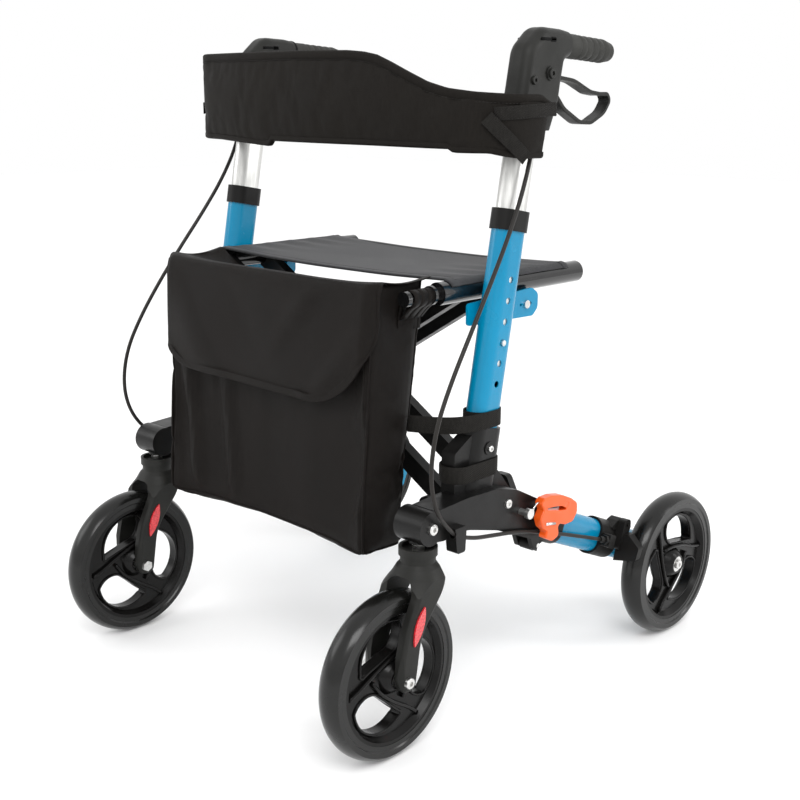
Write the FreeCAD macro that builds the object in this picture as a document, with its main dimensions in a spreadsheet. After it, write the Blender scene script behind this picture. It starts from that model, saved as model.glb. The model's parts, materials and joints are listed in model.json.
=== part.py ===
"""Folding rollator walker: two side frames joined by a sideways-folding cross frame, a sling seat, a hanging
bag, a padded backrest band, height-adjustable handles with cable brakes, and four wheels.

Millimetres. +X is the left side frame, -Y the front with the bag, +Z up. The origin is on the floor, at the
middle of the walker. The left side is built first, and its mirror image in the YZ plane is the right side.
"""
import FreeCAD, Part
import Sketcher
import math
import os
import re
from FreeCAD import Placement, Rotation, Vector

DIMENSIONS = {
    # wheels
    "wheel_radius": 100, "tyre_half_width": 15.5, "tyre_seat_radius": 80, "rim_half_width": 13.5,
    "hub_radius": 17, "hub_half_width": 17, "web_half_width": 6, "bearing_radius": 11, "bearing_width": 7,
    "axle_radius": 4, "running_gap": 0.05, "front_wheel_x": 249, "front_axle_y": -260, "stem_y": -212,
    "rear_wheel_x": 295.5, "rear_axle_y": 260,
    # casters
    "fork_half_gap": 19, "fork_leg_thick": 12, "fork_collar_radius": 22.5, "fork_collar_base": 222,
    "fork_collar_height": 20, "stem_radius": 6, "knuckle_height": 266, "knuckle_radius": 20,
    # telescopic posts
    "post_x": 240, "post_foot_y": -112, "post_foot_z": 262, "post_lean": 10.48, "post_length": 343.5,
    "oval_radius": 15, "oval_half_gap": 7.5, "post_wall": 1.4, "inner_radius": 13.3, "inner_wall": 1.5,
    "inner_start": 160, "inner_length": 321, "hole_radius": 4, "hole_first": 149, "hole_pitch": 24.5,
    "button_at": 198, "collar_radius": 17.6, "collar_length": 24,
    # side castings and rear legs
    "socket_radius": 17.3, "socket_half_gap": 10.5, "socket_top": 97, "casting_inner_x": 233,
    "casting_outer_x": 270, "leg_x": 254, "leg_joint_z": 219, "leg_slope": 23.27, "leg_start": 8,
    "leg_end": 316, "sleeve_length": 42, "sleeve_radius": 17.5, "hinge_drop": 30, "hinge_pin_radius": 3,
    # cross frames and seat
    "pivot_x": 208, "pivot_z": 262, "rail_x": 205, "rail_z": 515, "rail_radius": 13.5, "rail_wall": 1.6,
    "rail_front": -133, "rail_back": 131, "bar_height": 24, "bar_thick": 14, "sleeve_front": -141.5,
    "sleeve_back": -18.5, "pivot_sleeve_radius": 12, "pivot_pin_radius": 5, "seat_front": -122,
    "seat_back": 104, "seat_thick": 3,
    # handles
    "grip_radius": 14, "grip_length": 101, "grip_tilt": 3.3, "spigot_radius": 9, "lever_pivot_y": -4,
    "lever_pivot_z": 761, "cable_radius": 2.5,
    # soft goods
    "bag_half_width": 186, "bag_bottom": 218, "bag_top": 536, "band_half_width": 276, "band_thick": 9,
    "band_end": -30,
}

doc = FreeCAD.newDocument("rollator")
sheet = doc.addObject("Spreadsheet::Sheet", "dims")
for row, (alias, number) in enumerate(DIMENSIONS.items(), start=1):
    sheet.set(f"A{row}", alias)
    sheet.set(f"B{row}", str(number))
    sheet.setAlias(f"B{row}", alias)
doc.recompute()

WORD = re.compile(r"[a-z]+(?:_[a-z]+)+")
ALONG = {
    "X": Rotation(Vector(0, 1, 0), 90),
    "Y": Rotation(Vector(1, 0, 0), -90),
    "Z": Rotation(),
}
left_nodes = []
shared_nodes = []


# ---- helpers ----------------------------------------------------------------------------------------------

def size(name):
    """A driving dimension, read from the sheet."""
    return float(sheet.get(name))


def bind(item, prop, formula):
    """Binds a property to a formula of sheet names, such as 'wheel_radius - 2'."""
    item.setExpression(prop, WORD.sub(lambda word: "dims." + word.group(0), str(formula)))


def put(item, x, y, z):
    """Binds an item's position to three formulas."""
    for axis, formula in zip("xyz", (x, y, z)):
        bind(item, f"Placement.Base.{axis}", formula)
    return item


def rod(name, radius, length, x, y, z, along="X"):
    """A parametric cylinder that starts at x, y, z and runs along an axis."""
    item = doc.addObject("Part::Cylinder", name)
    item.Placement = Placement(Vector(), ALONG[along])
    bind(item, "Radius", radius)
    bind(item, "Height", length)
    return put(item, x, y, z)


def ring(name, radius, bore, length, x, y, z, along="X"):
    """A parametric tube: a rod with a bore."""
    item = doc.addObject("Part::Cut", name)
    item.Base = rod(name + "_solid", radius, length, x, y, z, along)
    item.Tool = rod(name + "_bore", bore, length, x, y, z, along)
    return item


def together(name, items):
    """Separate solids that share one node."""
    item = doc.addObject("Part::Compound", name)
    item.Links = items
    return item


def joined(name, items):
    item = doc.addObject("Part::MultiFuse", name)
    item.Shapes = items
    return item


def less(name, base, tool):
    item = doc.addObject("Part::Cut", name)
    item.Base = base
    item.Tool = tool
    return item


def shaped(name, shape):
    """A part whose shape is worked out in code from the sheet's sizes."""
    item = doc.addObject("Part::Feature", name)
    item.Shape = shape
    return item


def left(item, label):
    """Keeps an item as the left side's node; its mirror image becomes the right side's."""
    item.Label = label + "_left"
    left_nodes.append((item, label))
    return item


def shared(item, label):
    item.Label = label
    shared_nodes.append((item, label))
    return item


def path(points, radii, closed=False):
    """Straight runs through points, with a tangent arc of the given radius at each inner corner."""
    count = len(points)
    starts, ends, arcs = list(points), list(points), [None] * count
    for i in range(count):
        if (not closed and i in (0, count - 1)) or not radii[i]:
            continue
        corner = points[i]
        back = (points[i - 1] - corner).normalize()
        ahead = (points[(i + 1) % count] - corner).normalize()
        half = back.getAngle(ahead) / 2
        reach = radii[i] / math.tan(half)
        starts[i] = corner + back * reach
        ends[i] = corner + ahead * reach
        middle = (back + ahead).normalize()
        arcs[i] = corner + middle * (radii[i] / math.sin(half) - radii[i])
    edges = []
    for i in range(count):
        if arcs[i]:
            edges.append(Part.Arc(starts[i], arcs[i], ends[i]).toShape())
        if i < count - 1 or closed:
            following = (i + 1) % count
            if ends[i].distanceToPoint(starts[following]) > 1e-6:
                edges.append(Part.LineSegment(ends[i], starts[following]).toShape())
    return Part.Wire(edges)


def side_plate(outline, x_from, x_to, radii=0):
    """An outline of (y, z) points, its corners rounded, as a plate between two x positions."""
    if not isinstance(radii, (list, tuple)):
        radii = [radii] * len(outline)
    wire = path([Vector(x_from, y, z) for y, z in outline], radii, closed=True)
    return Part.Face(wire).extrude(Vector(x_to - x_from, 0, 0))


def front_plate(outline, y_from, y_to, radii=0):
    """An outline of (x, z) points as a plate between two y positions."""
    if not isinstance(radii, (list, tuple)):
        radii = [radii] * len(outline)
    wire = path([Vector(x, y_from, z) for x, z in outline], radii, closed=True)
    return Part.Face(wire).extrude(Vector(0, y_to - y_from, 0))


def pin_x(radius, y, z, x_from, x_to):
    return Part.makeCylinder(radius, x_to - x_from, Vector(x_from, y, z), Vector(1, 0, 0))


def hexagon(across, thick, base, axis):
    """A hexagonal bolt head or nut that starts at base and grows along axis."""
    corner = Vector(across / math.sqrt(3), 0, 0)
    points = [Rotation(Vector(0, 0, 1), 60 * k).multVec(corner) for k in range(7)]
    solid = Part.Face(Part.makePolygon(points)).extrude(Vector(0, 0, thick))
    solid.Placement = Placement(base, Rotation(Vector(0, 0, 1), axis))
    return solid


def socket_head(radius, thick, base, axis):
    """A round bolt head with a softened rim and a hexagonal socket; it starts at base and grows along axis."""
    head = Part.makeCylinder(radius, thick)
    rim = [edge for edge in head.Edges if edge.BoundBox.ZMin > thick - 0.01]
    head = head.makeFillet(0.35 * thick, rim)
    head = head.cut(hexagon(0.8 * radius, thick, Vector(0, 0, 0.4 * thick), Vector(0, 0, 1)))
    head.Placement = Placement(base, Rotation(Vector(0, 0, 1), axis))
    return head


def oval_solid(radius, half_gap, length):
    """A solid of flat-sided oval section, its long side along Y, standing on the origin."""
    block = Part.makeBox(2 * radius, 2 * half_gap, length, Vector(-radius, -half_gap, 0))
    front = Part.makeCylinder(radius, length, Vector(0, -half_gap, 0))
    back = Part.makeCylinder(radius, length, Vector(0, half_gap, 0))
    return block.fuse([front, back]).removeSplitter()


def origin_plane(body, role):
    return next(item for item in body.Origin.OriginFeatures if item.Role == role)


def new_sketch(body, name, role="XY_Plane"):
    sketch = body.newObject("Sketcher::SketchObject", name)
    sketch.AttachmentSupport = [(origin_plane(body, role), "")]
    sketch.MapMode = "FlatFace"
    return sketch


def add_oval(sketch, radius, half_gap):
    """A slot outline whose radius and length are bound to the sheet."""
    r, g = sum(sign * size(word) for sign, word in radius), size(half_gap)
    first = sketch.GeometryCount
    up, down = Vector(0, g, 0), Vector(0, -g, 0)
    top = Part.ArcOfCircle(Part.Circle(up, Vector(0, 0, 1), r), 0, math.pi)
    bottom = Part.ArcOfCircle(Part.Circle(down, Vector(0, 0, 1), r), math.pi, 2 * math.pi)
    sketch.addGeometry([
        top,
        Part.LineSegment(Vector(-r, g, 0), Vector(-r, -g, 0)),
        bottom,
        Part.LineSegment(Vector(r, -g, 0), Vector(r, g, 0)),
    ])
    for a, a_end, b, b_end in ((0, 2, 1, 1), (1, 2, 2, 1), (2, 2, 3, 1), (3, 2, 0, 1)):
        sketch.addConstraint(Sketcher.Constraint("Tangent", first + a, a_end, first + b, b_end))
    sketch.addConstraint(Sketcher.Constraint("Symmetric", first, 3, first + 2, 3, -1, 1))
    sketch.addConstraint(Sketcher.Constraint("PointOnObject", first, 3, -2))
    across = sketch.addConstraint(Sketcher.Constraint("Radius", first, r))
    apart = sketch.addConstraint(Sketcher.Constraint("DistanceY", first + 2, 3, first, 3, 2 * g))
    text = " ".join(("+ " if sign > 0 else "- ") + word for sign, word in radius).lstrip("+ ")
    bind(sketch, f"Constraints[{across}]", text)
    bind(sketch, f"Constraints[{apart}]", "2 * " + half_gap)


def oval_tube(name, outer, bore, half_gap, length):
    """A padded oval tube that stands on its own XY plane."""
    body = doc.addObject("PartDesign::Body", name)
    sketch = new_sketch(body, name + "_section")
    add_oval(sketch, outer, half_gap)
    add_oval(sketch, bore, half_gap)
    pad = body.newObject("PartDesign::Pad", name + "_pad")
    pad.Profile = sketch
    bind(pad, "Length", length)
    doc.recompute()
    return body


def revolved(body, name, points, arcs=()):
    """Revolves a closed outline of (axial, radial) points about the body's X axis. An entry of arcs gives, for
    the run that starts at that point, a third point that makes the run an arc."""
    sketch = new_sketch(body, name + "_profile")
    bends = dict(arcs)
    corners = [Vector(a, r, 0) for a, r in points]
    for i, corner in enumerate(corners):
        following = corners[(i + 1) % len(corners)]
        if i in bends:
            sketch.addGeometry(Part.Arc(corner, Vector(*bends[i], 0), following))
        else:
            sketch.addGeometry(Part.LineSegment(corner, following))
    turn = body.newObject("PartDesign::Revolution", name + "_revolution")
    turn.Profile = sketch
    turn.ReferenceAxis = (sketch, ["H_Axis"])
    turn.Angle = 360
    return turn


POST_AXIS = Vector(0, math.sin(math.radians(size("post_lean"))), math.cos(math.radians(size("post_lean"))))
POST_TURN = Rotation(Vector(1, 0, 0), -size("post_lean"))
POST_FOOT = Vector(size("post_x"), size("post_foot_y"), size("post_foot_z"))
LEG_AXIS = Vector(0, math.cos(math.radians(size("leg_slope"))), -math.sin(math.radians(size("leg_slope"))))
LEG_UP = Vector(0, -LEG_AXIS.z, LEG_AXIS.y)
LEG_JOINT = Vector(size("leg_x"), 0, size("leg_joint_z"))
LEG_TURN = Rotation(Vector(1, 0, 0), -90 - size("leg_slope"))
FRONT_AXLE = Vector(size("front_wheel_x"), size("front_axle_y"), size("wheel_radius"))
REAR_AXLE = Vector(size("rear_wheel_x"), size("rear_axle_y"), size("wheel_radius"))
STEM = Vector(size("front_wheel_x"), size("stem_y"), 0)


def on_post(distance, x=None):
    """The point of the post's centre line at a distance from its foot."""
    point = POST_FOOT + POST_AXIS * distance
    return Vector(point.x if x is None else x, point.y, point.z)


def on_leg(distance, rise=0, x=None):
    """A point along the rear leg from its joint, and above the leg's centre line."""
    point = LEG_JOINT + LEG_AXIS * distance + LEG_UP * rise
    return Vector(point.x if x is None else x, point.y, point.z)


def post_oval(radius, half_gap, start, end):
    """An oval solid along the post, between two distances from its foot."""
    solid = oval_solid(radius, half_gap, end - start)
    solid.Placement = Placement(on_post(start), POST_TURN)
    return solid


def leg_oval(radius, half_gap, start, end):
    solid = oval_solid(radius, half_gap, end - start)
    solid.Placement = Placement(on_leg(start), LEG_TURN)
    return solid


# ---- wheels -----------------------------------------------------------------------------------------------

def make_tyre(label, centre):
    body = doc.addObject("PartDesign::Body", label)
    seat, radius, half = size("tyre_seat_radius"), size("wheel_radius"), size("tyre_half_width")
    shoulder, step = radius - 6.5, 1.5
    points = [(-half + step, seat), (-half + step, seat + 6), (-half, seat + 7.5), (-half, shoulder),
              (half, shoulder), (half, seat + 7.5), (half - step, seat + 6), (half - step, seat)]
    revolved(body, label, points, {3: (0, radius)}.items())
    body.Placement = Placement(centre, Rotation())
    return left(body, label)


def make_rim(label, centre, turn, sweep):
    """Stepped rim, web with three comma-shaped openings, and a hub bored for two bearings. The openings start
    at the angle turn, measured from +Y toward +Z, and sweep gives the way they taper."""
    body = doc.addObject("PartDesign::Body", label)
    seat, half, web = size("tyre_seat_radius"), size("rim_half_width"), size("web_half_width")
    hub, hub_half = size("hub_radius"), size("hub_half_width")
    bore = size("bearing_radius") + size("running_gap")
    pocket_half = hub_half - size("bearing_width") - 0.6
    points = [
        (-half, seat), (-half, seat - 4), (-half + 3, seat - 6), (-web, seat - 9), (-web, hub + 5),
        (-hub_half + 4, hub), (-hub_half, hub - 4), (-hub_half, bore), (-pocket_half, bore),
        (-pocket_half, bore - 3), (pocket_half, bore - 3), (pocket_half, bore), (hub_half, bore),
        (hub_half, hub - 4), (hub_half - 4, hub), (web, hub + 5), (web, seat - 9), (half - 3, seat - 6),
        (half, seat - 4), (half, seat),
    ]
    revolved(body, label, points)
    doc.recompute()
    full = body.Shape.Volume
    opening = new_sketch(body, label + "_opening", "YZ_Plane")

    def polar(radius, degrees):
        angle = math.radians(turn + sweep * degrees)
        return Vector(radius * math.cos(angle), radius * math.sin(angle), 0)

    rim_end, tip, tip_back, hub_end = polar(65, 7), polar(54, 82), polar(47, 84), polar(31, 12)
    opening.addGeometry(Part.Arc(rim_end, polar(68, 42), tip))
    opening.addGeometry(Part.Arc(tip, polar(51.5, 87), tip_back))
    opening.addGeometry(Part.Arc(tip_back, polar(31, 50), hub_end))
    opening.addGeometry(Part.Arc(hub_end, polar(48, 0), rim_end))
    pocket = body.newObject("PartDesign::Pocket", label + "_pocket")
    pocket.Profile = opening
    pocket.Type = 1
    pocket.Midplane = True
    pattern = body.newObject("PartDesign::PolarPattern", label + "_pattern")
    pattern.Originals = [pocket]
    pattern.Axis = (origin_plane(body, "X_Axis"), [""])
    pattern.Angle = 360
    pattern.Occurrences = 3
    body.Tip = pattern
    doc.recompute()
    assert body.Shape.Volume < 0.93 * full, "the rim's openings cut nothing"
    body.Placement = Placement(centre, Rotation())
    return left(body, label)


def axle_parts(label, centre_x, y_name, start, end, head_thick):
    """Axle bolt with a round head and a nut, and two bearings on it."""
    y, z = size(y_name), size("wheel_radius")
    reach, width = size("hub_half_width") - 0.6, size("bearing_width")
    parts = [rod(label + "_bolt", "axle_radius", end - start, start, y_name, "wheel_radius")]
    for place, x in (("inner", centre_x - reach), ("outer", centre_x + reach - width)):
        bearing = ring(f"{label}_{place}_bearing", "bearing_radius", "axle_radius", "bearing_width",
                       x, y_name, "wheel_radius")
        parts.append(bearing)
    parts.append(shaped(label + "_head", socket_head(6.5, head_thick, Vector(end, y, z), Vector(1, 0, 0))))
    parts.append(shaped(label + "_nut", hexagon(13, 5, Vector(start, y, z), Vector(-1, 0, 0))))
    return parts


def make_wheels():
    make_tyre("front_tyre", FRONT_AXLE)
    make_rim("front_rim", FRONT_AXLE, 76, 1)
    make_tyre("rear_tyre", REAR_AXLE)
    make_rim("rear_rim", REAR_AXLE, 113, -1)
    outside = size("fork_half_gap") + size("fork_leg_thick")
    x = size("front_wheel_x")
    parts = axle_parts("front_axle", x, "front_axle_y", x - outside, x + outside, 5)
    left(together("front_axle", parts), "front_axle")
    x = size("rear_wheel_x")
    parts = axle_parts("rear_axle", x, "rear_axle_y", size("leg_x") - 16, x + 17.4, 2.5)
    spacer_from = size("leg_x") + size("oval_radius") + 0.2
    spacer = ring("rear_axle_spacer", 7, "axle_radius", x - size("hub_half_width") - 0.3 - spacer_from,
                  spacer_from, "rear_axle_y", "wheel_radius")
    left(together("rear_axle", parts + [spacer]), "rear_axle")


# ---- casters ----------------------------------------------------------------------------------------------

def make_casters():
    """Caster fork with two curved legs under a domed crown, its stem and race, and the reflectors."""
    x, stem_y, axle_y, axle_z = STEM.x, STEM.y, FRONT_AXLE.y, FRONT_AXLE.z
    gap, half = size("fork_half_gap"), size("fork_half_gap") + size("fork_leg_thick")
    base, top = size("fork_collar_base"), size("fork_collar_base") + size("fork_collar_height")
    crown_top = base + 2
    side = [(stem_y + 16, crown_top), (stem_y + 16, 198), (stem_y - 24, 147), (axle_y + 17, 104),
            (axle_y + 14, 86), (axle_y - 7, 86), (axle_y - 10, 104), (axle_y - 8, 130), (axle_y - 2, 156),
            (stem_y - 31, 194), (stem_y - 30, crown_top)]
    shape = side_plate(side, x - half, x + half, [0, 40, 60, 0, 10, 10, 0, 40, 40, 20, 0])
    rims = [edge for edge in shape.Edges if edge.BoundBox.XLength < 0.01 and edge.BoundBox.ZMax < crown_top - 1]
    shape = shape.makeFillet(5, rims)
    profile = [(0, crown_top), (20.5, crown_top), (25, 219), (31, 209), (39, 199), (46, 188), (62, 170),
               (62, 60), (0, 60)]
    corners = [Vector(r, 0, z) for r, z in profile]
    dome = Part.Face(Part.makePolygon(corners + corners[:1])).revolve(Vector(), Vector(0, 0, 1), 360)
    dome.translate(STEM)
    shape = shape.common(dome)
    arch = [(x - gap, 60), (x - gap, 212), (x + gap, 212), (x + gap, 60)]
    shape = shape.cut(front_plate(arch, -330, -150, [0, 15, 15, 0]))
    lower = Part.makeCylinder(size("fork_collar_radius") - 2, 10, STEM + Vector(0, 0, base))
    upper = Part.makeCylinder(size("fork_collar_radius"), top - base - 10, STEM + Vector(0, 0, base + 10))
    shape = shape.fuse([lower, upper])
    cup = Part.makeCylinder(19, 10, STEM + Vector(0, 0, top - 5))
    stem_room = Part.makeCylinder(size("stem_radius"), 60, STEM + Vector(0, 0, 204))
    axle_room = pin_x(size("axle_radius"), axle_y, axle_z, x - half - 1, x + half + 1)
    shape = shape.cut([cup, stem_room, axle_room])
    left(shaped("caster_fork", shape.removeSplitter()), "caster_fork")

    stem = rod("stem_rod", "stem_radius", 70, "front_wheel_x", "stem_y", 206, "Z")
    race = ring("stem_race", 8, "stem_radius", 8.6, "front_wheel_x", "stem_y", top - 5, "Z")
    left(together("caster_stem", [stem, race]), "caster_stem")

    middle, along = Vector(0, -243, 162), Vector(0, 0.366, 0.9306)
    across = Vector(0, along.z, -along.y)
    tips = [middle - along * 23, middle + along * 23]
    leaf = Part.Wire([Part.Arc(tips[0], middle + across * 6.5, tips[1]).toShape(),
                      Part.Arc(tips[1], middle - across * 6.5, tips[0]).toShape()])
    plates = []
    for k, face in enumerate((x - half - 2, x + half)):
        plate = Part.Face(leaf).extrude(Vector(2, 0, 0))
        plate.translate(Vector(face, 0, 0))
        plates.append(shaped(f"fork_reflector_{k}", plate))
    left(together("fork_reflector", plates), "fork_reflector")


# ---- side frame -------------------------------------------------------------------------------------------

def hinge_point(x=None):
    """The rear leg's hinge pin, below the leg and in line with the joint face."""
    return on_leg(0, -size("hinge_drop"), x)


def make_post():
    body = oval_tube("post_tube", [(1, "oval_radius")], [(1, "oval_radius"), (-1, "post_wall")],
                     "oval_half_gap", "post_length")
    full = body.Shape.Volume
    holes = new_sketch(body, "post_tube_hole", "YZ_Plane")
    holes.addGeometry(Part.Circle(Vector(0, size("hole_first"), 0), Vector(0, 0, 1), size("hole_radius")))
    holes.addConstraint(Sketcher.Constraint("PointOnObject", 0, 3, -2))
    radius = holes.addConstraint(Sketcher.Constraint("Radius", 0, size("hole_radius")))
    height = holes.addConstraint(Sketcher.Constraint("DistanceY", -1, 1, 0, 3, size("hole_first")))
    bind(holes, f"Constraints[{radius}]", "hole_radius")
    bind(holes, f"Constraints[{height}]", "hole_first")
    pocket = body.newObject("PartDesign::Pocket", "post_tube_pocket")
    pocket.Profile = holes
    pocket.Type = 1
    pocket.Reversed = True
    pattern = body.newObject("PartDesign::LinearPattern", "post_tube_holes")
    pattern.Originals = [pocket]
    pattern.Direction = (origin_plane(body, "Z_Axis"), [""])
    bind(pattern, "Length", "5 * hole_pitch")
    pattern.Occurrences = 6
    body.Tip = pattern
    doc.recompute()
    assert body.Shape.Volume < full - 300, "the height holes cut nothing"
    assert body.Shape.isInside(Vector(-size("oval_radius") + 0.5, 0, size("hole_first")), 0.1, True)
    body.Placement = Placement(POST_FOOT, POST_TURN)
    left(body, "post_tube")

    start = size("post_length") - size("collar_length") + 8
    end = start + size("collar_length")
    outer = post_oval(size("collar_radius"), size("oval_half_gap"), start, end)
    seat = post_oval(size("oval_radius") + 0.1, size("oval_half_gap"), start - 1, size("post_length") + 0.2)
    mouth = post_oval(size("inner_radius") + 0.3, size("oval_half_gap"), start - 1, end + 1)
    left(shaped("post_collar", outer.cut([seat, mouth])), "post_collar")


def make_side_casting():
    inner, outer = size("casting_inner_x"), size("casting_outer_x")
    post_x, stem_y, knuckle = size("post_x"), STEM.y, size("knuckle_height")
    top, bottom = on_leg(0, 24), on_leg(0, -24)
    bar = [(stem_y + 4, knuckle - 17), (stem_y + 4, knuckle + 19), (-150, 288), (-95, 286), (-58, 276),
           (top.y, top.z), (bottom.y, bottom.z), (-42, 211), (-95, 234), (-150, 249), (stem_y + 20, 247)]
    shape = side_plate(bar, inner, outer, [0, 4, 40, 40, 30, 3, 3, 40, 80, 30, 4])
    socket = post_oval(size("socket_radius"), size("socket_half_gap"), -12, size("socket_top"))
    web = side_plate([(-112, 353), (-122, 353), (-152, 336), (-152, 270), (-112, 270)],
                     post_x - 10, post_x + 10, [0, 4, 6, 0, 0])
    rear_web = side_plate([(-72, 300), (-40, 262), (-40, 250), (-90, 250), (-90, 300)],
                          post_x - 6, post_x + 10, [6, 4, 0, 0, 0])
    drum = pin_x(size("knuckle_radius"), stem_y, knuckle, STEM.x - 20, outer)
    neck = Part.makeCylinder(11, knuckle - 246, STEM + Vector(0, 0, 246))
    boss = pin_x(8, -99, 334, post_x, post_x + size("socket_radius") + 1.5)
    shape = shape.fuse([socket, web, rear_web, drum, neck, boss])

    # lugs that hold the cross frame's pivot pin
    pivot_x, pivot_z = size("pivot_x"), size("pivot_z")
    for y_from, y_to in ((size("sleeve_front") - 10.5, size("sleeve_front") - 0.5),
                         (size("sleeve_back") + 0.5, size("sleeve_back") + 10.5)):
        lug = [(pivot_x - 13, pivot_z + 13), (inner + 3, pivot_z + 13), (inner + 3, pivot_z - 30),
               (pivot_x - 2, pivot_z - 13), (pivot_x - 13, pivot_z - 10)]
        if y_from > -100:
            lug[0], lug[1] = (pivot_x - 13, pivot_z + 12), (pivot_x + 13, pivot_z + 12)
            lug.insert(2, (inner + 3, pivot_z - 17))
            lug[3] = (inner + 3, pivot_z - 45)
            shape = shape.fuse(front_plate(lug, y_from, y_to, [11, 8, 0, 0, 5, 9]))
        else:
            shape = shape.fuse(front_plate(lug, y_from, y_to, [11, 0, 0, 5, 9]))
    pin_hole = Part.makeCylinder(size("pivot_pin_radius"), 200, Vector(pivot_x, -180, pivot_z), Vector(0, 1, 0))

    # cable hook under the knuckle
    hook = side_plate([(-186, 262), (-166, 262), (-168, 231), (-182, 231)], outer - 4, 282, [0, 3, 3, 3])
    shape = shape.fuse(hook)
    groove = Part.makeCylinder(4, 60, UPPER_CABLE[-2], UPPER_CABLE[-1] - UPPER_CABLE[-2])
    second = Part.makeCylinder(4, 40, LOWER_CABLE[0] - Vector(0, 8, -3), LOWER_CABLE[1] - LOWER_CABLE[0])
    # ears for the rear leg's hinge, with room between them for its knuckle
    pivot = hinge_point()
    for x_from, x_to in ((238.5, 245), (263, 269.5)):
        ear = side_plate([(pivot.y + 7, pivot.z + 2), (pivot.y, pivot.z - 8), (pivot.y - 8, pivot.z - 4),
                          (-34, 222), (top.y - 6, top.z - 20)], x_from, x_to, [3, 6, 6, 0, 0])
        shape = shape.fuse(ear)
    room = pin_x(8.8, pivot.y, pivot.z, 244.6, 263.4)
    beyond = leg_oval(60, 60, 0, 60)
    pin_room = pin_x(size("hinge_pin_radius"), pivot.y, pivot.z, 230, 280)
    bore = post_oval(size("oval_radius") + 0.1, size("oval_half_gap"), 0, size("socket_top") + 1)
    stem_bore = Part.makeCylinder(size("stem_radius") + size("running_gap"), 37, STEM + Vector(0, 0, 240))
    shape = shape.cut([pin_hole, groove, second, room, beyond, pin_room, bore, stem_bore])
    left(shaped("side_casting", shape.removeSplitter()), "side_casting")


def make_seat_bracket():
    """Plate on the post's inner face, with a lip that the seat rail rests on."""
    face = size("post_x") - size("oval_radius")
    plate = side_plate([(-104, 476), (-104, 502), (18, 508), (30, 500), (30, 482), (20, 473)],
                       face - 3, face, [4, 4, 8, 8, 10, 8])
    lip_top = size("rail_z") - size("rail_radius") - 0.4
    lip = Part.makeBox(face - 3 - 197, 34, 3, Vector(197, -9, lip_top - 3))
    plate = plate.fuse(lip)
    for y, radius in ((5.7, 3), (-4, 2), (15.5, 2)):
        plate = plate.cut(pin_x(radius, y, 489, face - 10, face + 10))
    left(shaped("seat_bracket", plate.removeSplitter()), "seat_bracket")


def make_frame_screws():
    outer, stem_y = size("casting_outer_x"), STEM.y
    face = size("post_x") - size("oval_radius")
    socket_face = size("post_x") + size("socket_radius") + 1.5
    outward = Vector(1, 0, 0)
    solids = [
        socket_head(4, 3, Vector(socket_face, -99, 334), outward),
        socket_head(5.5, 3, Vector(outer, -76.5, 263), outward),
        socket_head(6.5, 4, Vector(outer, stem_y, size("knuckle_height")), outward),
        pin_x(5, 5.7, 489, face, face + 3).fuse(pin_x(3, 5.7, 489, face - 3, face)),
        pin_x(4, -51, 247, outer, 280).fuse(pin_x(6.5, -51, 247, 280, 286)),
    ]
    pivot = hinge_point()
    solids.append(pin_x(size("hinge_pin_radius"), pivot.y, pivot.z, 238.5, 269.5))
    start, end = size("sleeve_front") - 10.5, size("sleeve_back") + 10.5
    base = Vector(size("pivot_x"), start, size("pivot_z"))
    pin = Part.makeCylinder(size("pivot_pin_radius"), end - start, base, Vector(0, 1, 0))
    head = hexagon(14, 5, base, Vector(0, -1, 0))
    nut = hexagon(14, 5, Vector(base.x, end, base.z), Vector(0, 1, 0))
    solids.append(pin.fuse([head, nut]))
    left(together("frame_screws", [shaped(f"screw_{k}", s) for k, s in enumerate(solids)]), "frame_screws")


# ---- rear leg and brake -----------------------------------------------------------------------------------

BRAKE_PIVOT = (176, 27)
SHOE_GAP = 3.4


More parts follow.
